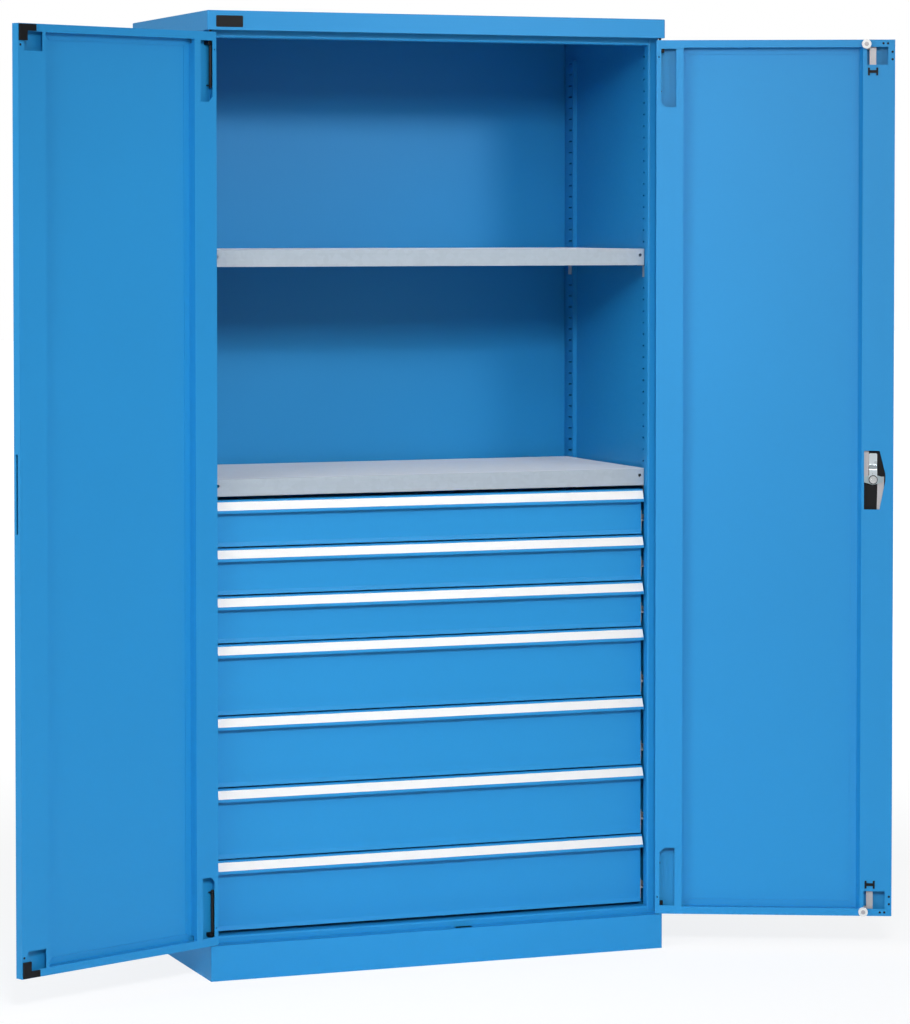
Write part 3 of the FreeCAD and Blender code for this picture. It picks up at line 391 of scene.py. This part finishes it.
def spangle_group():
    """The crystals of galvanised sheet: each has its own tone and gloss."""
    net, given, place = open_group("Zinc Spangle", ("Cell Scale", "Float", 90.0))
    warp = net.noise(place, scale=60.0, detail=1.0, output="Color")
    bent = net.vector("MULTIPLY_ADD", warp, SPANGLE_WARP, place)["Vector"]
    cells = net.node("ShaderNodeTexVoronoi", Vector=bent, Scale=given["Cell Scale"])
    tone, gloss, height = net.node("ShaderNodeSeparateColor", Color=cells.outputs["Color"]).outputs
    toned = net.toned(given["Colour"], tone, darkest=0.97, lightest=1.03)
    return close_group(net, toned, net.around(given["Roughness"], gloss, width=0.06), height)


def drawn_group():
    """Fine lines of a drawn or brushed metal, along one axis."""
    net, given, place = open_group("Drawn Metal", ("Stretch", "Vector", (900.0, 900.0, 30.0)))
    stretched = net.vector("MULTIPLY", place, given["Stretch"])["Vector"]
    lines = net.noise(stretched, scale=1.0, detail=2.0)
    patch = net.noise(place, scale=45.0, detail=2.0)
    toned = net.toned(given["Colour"], lines, darkest=0.88, lightest=1.08)
    return close_group(net, toned, net.around(given["Roughness"], patch, width=0.2), lines)


def moulded_group():
    """The fine erosion grain of moulded plastic."""
    net, given, place = open_group("Moulded Plastic", ("Grain Scale", "Float", 1100.0),
                                   ("Darkest", "Float", 0.92), ("Lightest", "Float", 1.08))
    grain = net.noise(place, scale=given["Grain Scale"], detail=2.0)
    slow = net.noise(place, scale=35.0, detail=1.0)
    toned = net.toned(given["Colour"], slow, given["Darkest"], given["Lightest"])
    return close_group(net, toned, net.around(given["Roughness"], grain, width=0.16), grain)


def surface(slot, group, tint, roughness, relief, metallic=0.0, sheen=0.0, specular=0.5, **own):
    """Makes a slot's material, whose finish comes from a shader group and its own inputs."""
    net = empty_net(bpy.data.materials.new(MATERIAL_NAMES[slot]))
    made = net.node("ShaderNodeGroup", _node_tree=group, Colour=(*tint, 1.0), Roughness=roughness, **own)
    base, rough, height = made.outputs
    raised = net.node("ShaderNodeBump", Strength=1.0, Distance=relief, Height=height)
    shader = net.node(
        "ShaderNodeBsdfPrincipled", Base_Color=base, Metallic=metallic, Roughness=rough, Sheen_Weight=sheen,
        Specular_IOR_Level=specular, Normal=raised.outputs["Normal"]
    )
    net.node("ShaderNodeOutputMaterial", Surface=shader.outputs[0])


def make_finishes(finish):
    """Makes the materials of all slots and of the scene's own finishes."""
    powder, spangle, drawn, moulded = powder_group(), spangle_group(), drawn_group(), moulded_group()
    surface(BLUE, powder, finish.blue, finish.blue_roughness, finish.blue_relief, specular=0.3)
    # The galvanised sheet's sheen is painted sheen, in place of light from above on the shelf tops
    surface(GALVANISED, spangle, finish.zinc, finish.zinc_roughness, SPANGLE_RELIEF,
            metallic=finish.zinc_metal, sheen=finish.zinc_painted_sheen)
    for slot, tint, roughness, metallic, relief in (
        (BRIGHT, finish.bright, 0.5, 0.6, DRAWN_RELIEF),
        # Painted shade on the drive plate, painted highlight on the tongue and the screw
        (PLATE, finish.bright_plate, 0.35, 1.0, DRAWN_RELIEF),
        (TONGUE, finish.bright_tongue, 0.3, 1.0, DRAWN_RELIEF),
        (SCREW, finish.bright_screw, 0.22, 1.0, DRAWN_RELIEF),
        # Partly the pins' own dark and partly painted shade in the cut-outs
        (DARK, finish.dark, 0.5, 0.5, DARK_RELIEF),
    ):
        surface(slot, drawn, tint, roughness, relief, metallic=metallic)
    surface(BLACK, moulded, finish.black, roughness=0.42, relief=BLACK_RELIEF, specular=0.2)
    surface(WHITE, moulded, finish.white, roughness=0.35, relief=WHITE_RELIEF)
    surface(STRIP, moulded, finish.strip, roughness=0.3, relief=STRIP_RELIEF,
            Grain_Scale=300.0, Darkest=0.99, Lightest=1.01)


def finish_of(slot):
    """The material made for a slot."""
    return bpy.data.materials[MATERIAL_NAMES[slot]]


# Pieces


def set_piece(name, mesh, body):
    """Adds a piece that rides on one body."""
    made = bpy.data.objects.new(name, mesh)
    bpy.context.scene.collection.objects.link(made)
    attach(made, body)
    return made


def shade_by_angle(mesh, angle):
    """Smooth faces, with sharp edges where the surface turns by more than an angle."""
    mesh.shade_smooth()
    mesh.set_sharp_from_angle(angle=angle)


def points_mesh(name, places, turns):
    """A mesh of loose points, each with the turn of the piece that stands on it."""
    mesh = bpy.data.meshes.new(name)
    mesh.from_pydata([tuple(place) for place in places], [], [])
    turned = mesh.attributes.new("turn", "FLOAT_VECTOR", "POINT")
    for index, angles in enumerate(turns):
        turned.data[index].vector = angles
    return mesh


def repeat_tree(name, build):
    """A node tree that sets a piece, built by its own nodes, on every point, spun by chance."""
    tree = bpy.data.node_groups.new(name, "GeometryNodeTree")
    add_socket(tree, "INPUT", "Geometry", "Geometry")
    add_socket(tree, "INPUT", "Radius", "Float")
    add_socket(tree, "INPUT", "Height", "Float")
    add_socket(tree, "INPUT", "Finish", "Material")
    add_socket(tree, "OUTPUT", "Geometry", "Geometry")
    net = Net(tree)
    given = net.node("NodeGroupInput").outputs
    piece = build(net, given["Radius"], given["Height"])
    turned = net.node("GeometryNodeInputNamedAttribute", _data_type="FLOAT_VECTOR", Name="turn")
    placed = net.node("GeometryNodeInstanceOnPoints", Points=given["Geometry"], Instance=piece,
                      Rotation=turned.outputs["Attribute"])
    drawn = net.node("FunctionNodeRandomValue", _data_type="FLOAT", Seed=SPIN_SEED)
    drawn.inputs[net.DRAW_LEAST].default_value = 0.0
    drawn.inputs[net.DRAW_MOST].default_value = math.tau
    spin = net.node("ShaderNodeCombineXYZ", Z=drawn.outputs[net.DRAW_RESULT]).outputs[0]
    spun = net.node("GeometryNodeRotateInstances", Instances=placed.outputs[0], Rotation=spin, Local_Space=True)
    real = net.node("GeometryNodeRealizeInstances", Geometry=spun.outputs[0])
    dressed = net.node("GeometryNodeSetMaterial", Geometry=real.outputs[0], Material=given["Finish"])
    net.node("NodeGroupOutput", Geometry=dressed.outputs[0])
    return tree


def dome_piece(net, radius, height):
    """A low dome: the upper half of a ball, pressed flat."""
    ball = net.node("GeometryNodeMeshUVSphere", Segments=DOME_SEGMENTS, Rings=DOME_RINGS, Radius=1.0)
    place = net.node("GeometryNodeInputPosition").outputs[0]
    level = net.node("ShaderNodeSeparateXYZ", Vector=place).outputs["Z"]
    below = net.node("FunctionNodeCompare", _data_type="FLOAT", _operation="LESS_THAN")
    net.feed_all(below, level, DOME_CUT)
    half = net.node("GeometryNodeDeleteGeometry", Geometry=ball.outputs["Mesh"], Selection=below.outputs[0])
    size = net.node("ShaderNodeCombineXYZ", X=radius, Y=radius, Z=height).outputs[0]
    return net.node("GeometryNodeTransform", Geometry=half.outputs[0], Scale=size).outputs[0]


def raised_prism(net, sides, radius, height, middle):
    """An upright prism, with its middle lifted to a share of its height."""
    prism = net.node("GeometryNodeMeshCylinder", Vertices=sides, Side_Segments=1, Fill_Segments=1,
                     Radius=radius, Depth=height)
    lift = net.node("ShaderNodeCombineXYZ", Z=net.math("MULTIPLY", height, middle)).outputs[0]
    return net.node("GeometryNodeTransform", Geometry=prism.outputs["Mesh"], Translation=lift).outputs[0]


def screw_piece(net, radius, height):
    """A low pan head with a hexagonal recess."""
    head = raised_prism(net, HEAD_SIDES, radius, height, HEAD_MIDDLE)
    key = raised_prism(net, KEY_SIDES, net.math("MULTIPLY", radius, KEY_SHARE), height, KEY_MIDDLE)
    cut = net.node("GeometryNodeMeshBoolean", _operation="DIFFERENCE", _solver="EXACT")
    return net.feed_all(cut, head, key).outputs[0]


def repeated(name, places, turns, tree, radius, height, slot, body):
    """One plain mesh of a piece on all its places, that rides on one body."""
    seat = bpy.data.objects.new(name + "_places", points_mesh(name + "_places", places, turns))
    bpy.context.scene.collection.objects.link(seat)
    modifier = seat.modifiers.new("Repeat", "NODES")
    modifier.node_group = tree
    sockets = {item.name: item.identifier for item in tree.interface.items_tree if item.in_out == "INPUT"}
    modifier[sockets["Radius"]] = radius
    modifier[sockets["Height"]] = height
    modifier[sockets["Finish"]] = finish_of(slot)
    bpy.context.view_layer.update()
    ready = seat.evaluated_get(bpy.context.evaluated_depsgraph_get())
    mesh = bpy.data.meshes.new_from_object(ready)
    mesh.name = name
    bpy.data.objects.remove(seat)
    if not mesh.polygons:
        raise RuntimeError("the node tree of %s made no faces" % name)
    return set_piece(name, mesh, body)


def piece_from(name, points, faces, slot, body):
    """Adds a piece with sharp edges kept, in the finish of a slot, that rides on one body."""
    mesh = bpy.data.meshes.new(name)
    mesh.from_pydata(points, [], faces)
    mesh.materials.append(finish_of(slot))
    shade_by_angle(mesh, PLATE_SHARP)
    set_piece(name, mesh, body)


def rounded_plate(width, height, depth, corner, slope):
    """Points and faces of a plate with round corners, facing the front, with a small slope round that face."""
    rings = []
    for inset, front in ((0.0, 0.0), (0.0, depth - slope), (slope, depth)):
        ring = []
        reach = corner - inset
        for quarter, (across, up) in enumerate(((1, 1), (-1, 1), (-1, -1), (1, -1))):
            centre_x = across * (width / 2 - corner)
            centre_z = up * (height / 2 - corner)
            for step in range(CORNER_STEPS + 1):
                angle = (quarter + step / CORNER_STEPS) * math.pi / 2
                ring.append((centre_x + reach * math.cos(angle), -front, centre_z + reach * math.sin(angle)))
        rings.append(ring)
    count = len(rings[0])
    points = [point for ring in rings for point in ring]
    faces = [tuple(range(count))]
    for level in range(len(rings) - 1):
        for index in range(count):
            after = (index + 1) % count
            low, high = level * count, (level + 1) * count
            faces.append((low + index, high + index, high + after, low + after))
    faces.append(tuple(range(len(points) - 1, len(points) - 1 - count, -1)))
    return points, faces


def middle_of(values):
    """Half way between the least and the greatest value."""
    return (min(values) + max(values)) / 2


class DoorPlace:
    """Places on a door: across from its hinge edge, in from its outer face, and up; all for the open door."""

    def __init__(self, body, sizes):
        hinges = [joint for joint in frame["joints"] if joint["child"] == body]
        if len(hinges) != 1:
            raise RuntimeError("%s has no single hinge" % body)
        hinge = hinges[0]
        self.side = -1 if body == "left_door" else 1
        self.axis = Vector(hinge["pos_m"])
        opened = -math.radians(hinge["range_deg"][0])
        self.turned = Matrix.Rotation(opened, 3, Vector(hinge["axis"]))
        self.angle = opened * hinge["axis"][2]
        self.pin_inset, self.pin_depth = sizes.pin_inset, sizes.pin_depth
        low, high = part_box(body + "_skin")
        self.foot, self.head = low.z, high.z
        self.width = self.pin_inset + max(-self.side * point.x for point in self.closed(body + "_skin"))

    def closed(self, node):
        """The points of a node on the door as if it were shut, seen from the hinge."""
        back = self.turned.inverted()
        return [back @ (point.co - self.axis) for point in frame["nodes"][node].data.vertices]

    def point(self, across, inward, height):
        """A place in the row frame."""
        across_pin, inward_pin = across - self.pin_inset, inward - self.pin_depth
        placed = self.axis + self.turned @ Vector((-self.side * across_pin, inward_pin, 0.0))
        return Vector((placed.x, placed.y, height))

    def facing_in(self):
        """The turn that sets a piece's own up along the door's inward way."""
        return (-math.pi / 2, 0.0, self.angle)


# Stage


def show_apart(net, output, lighting, seen):
    """Ends a net with one shader for the light and another for what the camera sees."""
    sight = net.node("ShaderNodeLightPath").outputs["Is Camera Ray"]
    chosen = net.feed_all(net.node("ShaderNodeMixShader"), sight, lighting.outputs[0], seen.outputs[0])
    net.node(output, Surface=chosen.outputs[0])


def floor_finish():
    """A white floor: the camera sees it white, with a faint shadow, and it lights the cabinet from below."""
    material = bpy.data.materials.new("Studio floor")
    net = empty_net(material)
    place = net.node("ShaderNodeTexCoord").outputs["Object"]
    away = net.vector("LENGTH", place)["Value"]
    glow = net.node("ShaderNodeMapRange", Value=away, From_Min=GLOW_NEAR, From_Max=GLOW_FAR, To_Min=GLOW_LEVEL,
                    To_Max=1.0).outputs[0]
    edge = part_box("plinth")[1]
    beside = net.node("ShaderNodeSeparateXYZ", Vector=place).outputs
    outside = net.math(
        "MAXIMUM",
        net.math("GREATER_THAN", net.math("ABSOLUTE", beside["X"]), edge.x),
        net.math("GREATER_THAN", net.math("ABSOLUTE", beside["Y"]), edge.y),
    )
    glowing = net.node("ShaderNodeEmission", Color=SEEN_WHITE, Strength=net.math("MULTIPLY", glow, outside))
    shade = net.node("ShaderNodeBsdfDiffuse", Color=FLOOR_SHADE)
    seen = net.feed_all(net.node("ShaderNodeAddShader"), glowing.outputs[0], shade.outputs[0])
    bounce = net.node("ShaderNodeBsdfDiffuse", Color=FLOOR_BOUNCE)
    show_apart(net, "ShaderNodeOutputMaterial", bounce, seen)
    return material


def make_floor(scene):
    """A wide flat floor at the cabinet's foot."""
    corners = [(x * FLOOR_REACH, y * FLOOR_REACH, 0.0) for x, y in ((-1, -1), (1, -1), (1, 1), (-1, 1))]
    mesh = bpy.data.meshes.new("Floor")
    mesh.from_pydata(corners, [], [(0, 1, 2, 3)])
    floor = bpy.data.objects.new("Floor", mesh)
    scene.collection.objects.link(floor)
    mesh.materials.append(floor_finish())
    return floor


def make_world(scene, fill_level):
    """Pale light from all sides, and white where the camera sees past the floor."""
    scene.world = bpy.data.worlds.new("Studio")
    net = empty_net(scene.world)
    seen = net.node("ShaderNodeBackground", Color=SEEN_WHITE, Strength=1.0)
    fill = net.node("ShaderNodeBackground", Color=FILL_COLOUR, Strength=fill_level)
    show_apart(net, "ShaderNodeOutputWorld", fill, seen)


def aim(item, place, ahead):
    """Stands a light or camera on a place and points it along a direction."""
    item.location = place
    item.rotation_euler = ahead.to_track_quat("-Z", "Y").to_euler()


def make_lights(scene, stage):
    """The soft lights, each aimed at its target."""
    made = []
    for name, setting, place, target, width, height, spread in LIGHTS:
        light = bpy.data.lights.new(name, "AREA")
        light.shape = "RECTANGLE"
        light.size = width
        light.size_y = height
        light.energy = getattr(stage, setting)
        light.spread = math.radians(spread)
        lamp = bpy.data.objects.new(name, light)
        scene.collection.objects.link(lamp)
        aim(lamp, place, Vector(target) - Vector(place))
        made.append(lamp)
    return made


def make_camera(scene, stage):
    """The camera at the photo's place."""
    data = bpy.data.cameras.new("Camera")
    data.sensor_width = SENSOR_WIDTH
    data.lens = stage.lens
    data.shift_y = stage.shift
    data.clip_start = CLIP_NEAR
    data.clip_end = CLIP_FAR
    camera = bpy.data.objects.new("Camera", data)
    scene.collection.objects.link(camera)
    level = math.cos(stage.pitch)
    ahead = Vector((math.sin(stage.yaw) * level, math.cos(stage.yaw) * level, -math.sin(stage.pitch)))
    aim(camera, stage.camera_place, ahead)
    scene.camera = camera


# Operators


class CABINET_OT_finishes(bpy.types.Operator):
    """Gives every sheet and fitting of the cabinet its finish"""

    bl_idname = "cabinet.finishes"
    bl_label = "Finishes"

    def execute(self, context):
        """Makes the materials and puts each on the nodes of its slot."""
        make_finishes(context.scene.cabinet_finish)
        for part in frame["record"]["subparts"]:
            node = frame["nodes"][part["node"]]
            node.data.materials.clear()
            node.data.materials.append(finish_of(NODE_FINISH.get(part["node"], part["material_slot"])))
        return {"FINISHED"}


class CABINET_OT_back_rivets(bpy.types.Operator):
    """Sets rivets along both long edges of the back panel"""

    bl_idname = "cabinet.back_rivets"
    bl_label = "Back rivets"

    def execute(self, context):
        """Sets the rivets at an even pitch between the foot of the side panels and the cap."""
        sizes = context.scene.cabinet_hardware
        low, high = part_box("left_side_panel")
        cap_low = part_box("top_cap")[0].z
        count = int((cap_low - low.z - sizes.rivet_inset) / sizes.rivet_pitch)
        first = (low.z + cap_low - count * sizes.rivet_pitch) / 2
        across = abs(high.x) + sizes.rivet_inset / 2
        places = [(side * across, high.y, first + step * sizes.rivet_pitch)
                  for side in (-1, 1) for step in range(count + 1)]
        facing_back = (-math.pi / 2, 0.0, 0.0)
        made = repeated("back_rivets", places, [facing_back] * len(places), repeat_tree("Rivets", dome_piece),
                        sizes.rivet_radius, sizes.rivet_height, BLUE, "cabinet")
        shade_by_angle(made.data, RIVET_SHARP)
        return {"FINISHED"}


class CABINET_OT_slide_screws(bpy.types.Operator):
    """Sets the screws that hold the fixed slide rails to the uprights"""

    bl_idname = "cabinet.slide_screws"
    bl_label = "Slide screws"

    def execute(self, context):
        """Sets one screw in the raised leg of each bracket."""
        sizes = context.scene.cabinet_hardware
        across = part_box("fixed_slide_rails")[1].x - sizes.bracket_sheet
        places, turns = [], []
        for number in range(1, DRAWERS + 1):
            low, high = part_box("drawer_%d_middle_rails" % number)
            height = (low.z + high.z) / 2 + sizes.screw_lift
            for depth in (low.y + sizes.screw_front, high.y - sizes.screw_back):
                for side in (-1, 1):
                    places.append((side * across, depth, height))
                    turns.append((0.0, -side * math.pi / 2, 0.0))
        repeated("slide_screws", places, turns, repeat_tree("Screws", screw_piece),
                 sizes.screw_radius, sizes.screw_height, BRIGHT, "cabinet")
        return {"FINISHED"}


class CABINET_OT_front_plate(bpy.types.Operator):
    """Sets a blank plate on the left end of the cap's front"""

    bl_idname = "cabinet.front_plate"
    bl_label = "Front plate"

    def execute(self, context):
        """Makes the plate and moves its points to their place on the cap."""
        sizes = context.scene.cabinet_hardware
        low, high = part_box("top_cap")
        points, faces = rounded_plate(sizes.plate_width, sizes.plate_height, sizes.plate_depth,
                                      sizes.plate_corner, sizes.plate_depth * sizes.plate_slope)
        place = Vector((low.x + sizes.plate_left + sizes.plate_width / 2, low.y,
                        high.z - sizes.plate_drop - sizes.plate_height / 2))
        piece_from("front_plate", [Vector(point) + place for point in points], faces, BLACK, "cabinet")
        return {"FINISHED"}


class CABINET_OT_pin_blocks(bpy.types.Operator):
    """Sets a black block round each hinge pin, just inside the cut-outs of the doors; the black is partly the
    block's own colour and partly painted shade of the hollow stile behind it
    """

    bl_idname = "cabinet.pin_blocks"
    bl_label = "Pin blocks"

    def execute(self, context):
        """Makes two blocks for each door and turns them with the open door about its hinge."""
        sizes = context.scene.cabinet_hardware
        points, faces = rounded_plate(sizes.block_reach, sizes.block_height, sizes.block_depth,
                                      sizes.block_corner, sizes.block_slope)
        across = sizes.door_sheet + sizes.block_reach / 2
        inset = sizes.block_inset + sizes.block_height / 2
        for body in ("left_door", "right_door"):
            door = DoorPlace(body, sizes)
            all_points, all_faces = [], []
            for middle in (door.foot + inset, door.head - inset):
                first = len(all_points)
                all_points += [door.point(across + x, sizes.door_sheet - y, middle + z) for x, y, z in points]
                for face in faces:
                    kept = face if door.side > 0 else face[::-1]
                    all_faces.append(tuple(first + index for index in kept))
            piece_from(body + "_pin_blocks", all_points, all_faces, BLACK, body)
        return {"FINISHED"}


class CABINET_OT_door_shade_dots(bpy.types.Operator):
    """Fills the small holes near the corners of the doors with black domes, painted shade of the hollow behind
    them
    """

    bl_idname = "cabinet.door_plugs"
    bl_label = "Door plugs"

    def execute(self, context):
        """Sets black domes where the small holes look dark: four at each end of the right door, one of the left
        door.
        """
        sizes = context.scene.cabinet_hardware
        tree = repeat_tree("Plugs", dome_piece)
        # From the free edge and from the end of a door
        insets = ((sizes.shade_dot_edge, sizes.shade_dot_low), (sizes.shade_dot_edge, sizes.shade_dot_high),
                  (sizes.shade_dot_near, sizes.shade_dot_drop), (sizes.shade_dot_far, sizes.shade_dot_drop))
        for body, kept in (("left_door", insets[:1]), ("right_door", insets)):
            door = DoorPlace(body, sizes)
            places = [door.point(door.width - from_edge, sizes.door_depth, height)
                      for from_edge, from_end in kept
                      for height in (door.foot + from_end, door.head - from_end)]
            repeated(body + "_plugs", places, [door.facing_in()] * len(places), tree,
                     sizes.shade_dot_radius, sizes.shade_dot_height, BLACK, body)
        return {"FINISHED"}


class CABINET_OT_lock_dark_ring(bpy.types.Operator):
    """Sets a dark flat ring under the screw of the lock"""

    bl_idname = "cabinet.lock_washer"
    bl_label = "Lock washer"

    def execute(self, context):
        """Makes a flat ring on the tongue, round the screw."""
        sizes = context.scene.cabinet_hardware
        door = DoorPlace("right_door", sizes)
        screw = door.closed("lock_spindle")
        across = door.pin_inset - middle_of([point.x for point in screw])
        height = door.axis.z + middle_of([point.z for point in screw])
        seat = door.pin_depth + max(point.y for point in screw) - sizes.screw_head
        rims = ((sizes.ring_inner, 0.0), (sizes.ring_inner, sizes.ring_height),
                (sizes.ring_outer, sizes.ring_height), (sizes.ring_outer, 0.0))
        points, faces = [], []
        for rim, (radius, lift) in enumerate(rims):
            start, after = rim * RING_STEPS, (rim + 1) % len(rims) * RING_STEPS
            for step in range(RING_STEPS):
                angle = math.tau * step / RING_STEPS
                points.append(door.point(across + radius * math.cos(angle), seat + lift,
                                         height + radius * math.sin(angle)))
                ahead = (step + 1) % RING_STEPS
                faces.append((start + step, after + step, after + ahead, start + ahead))
        piece_from("lock_washer", points, faces, BLACK, "lock")
        return {"FINISHED"}


class CABINET_OT_stage(bpy.types.Operator):
    """Builds the floor, the lights and the camera"""

    bl_idname = "cabinet.stage"
    bl_label = "Stage"

    def execute(self, context):
        """Makes a white floor, soft light from all sides, narrower lights and the camera."""
        scene, stage = context.scene, context.scene.cabinet_stage
        scene.view_settings.view_transform = "Standard"
        made = [make_floor(scene)]
        make_world(scene, stage.fill_level)
        made += make_lights(scene, stage)
        make_camera(scene, stage)
        return {"FINISHED"}


OPERATORS = (
    CABINET_OT_finishes,
    CABINET_OT_back_rivets,
    CABINET_OT_slide_screws,
    CABINET_OT_front_plate,
    CABINET_OT_pin_blocks,
    CABINET_OT_door_shade_dots,
    CABINET_OT_lock_dark_ring,
    CABINET_OT_stage,
)
SETTINGS = (
    ("cabinet_finish", CabinetFinish),
    ("cabinet_hardware", CabinetHardware),
    ("cabinet_stage", CabinetStage),
)


class CABINET_PT_panel(bpy.types.Panel):
    """The cabinet's settings and steps"""

    bl_idname = "CABINET_PT_panel"
    bl_label = "Tool Cabinet"
    bl_space_type = "VIEW_3D"
    bl_region_type = "UI"
    bl_category = "Cabinet"

    def draw(self, context):
        """Shows each settings group and one button per step."""
        for name, group in SETTINGS:
            box = self.layout.box()
            values = getattr(context.scene, name)
            for key in group.__annotations__:
                box.prop(values, key)
        for operator in OPERATORS:
            self.layout.operator(operator.bl_idname)


def register():
    """Adds the settings, steps and panel."""
    for name, group in SETTINGS:
        bpy.utils.register_class(group)
        setattr(bpy.types.Scene, name, bpy.props.PointerProperty(type=group))
    for operator in OPERATORS:
        bpy.utils.register_class(operator)
    bpy.utils.register_class(CABINET_PT_panel)


def unregister():
    """Takes the panel, steps and settings away again."""
    bpy.utils.unregister_class(CABINET_PT_panel)
    for operator in reversed(OPERATORS):
        bpy.utils.unregister_class(operator)
    for name, group in reversed(SETTINGS):
        delattr(bpy.types.Scene, name)
        bpy.utils.unregister_class(group)


def main():
    """Builds the scene."""
    register()
    bpy.ops.cabinet.finishes()
    bpy.ops.cabinet.back_rivets()
    bpy.ops.cabinet.slide_screws()
    bpy.ops.cabinet.front_plate()
    bpy.ops.cabinet.pin_blocks()
    bpy.ops.cabinet.door_plugs()
    bpy.ops.cabinet.lock_washer()
    bpy.ops.cabinet.stage()
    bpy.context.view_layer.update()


if __name__ == "__main__":
    main()
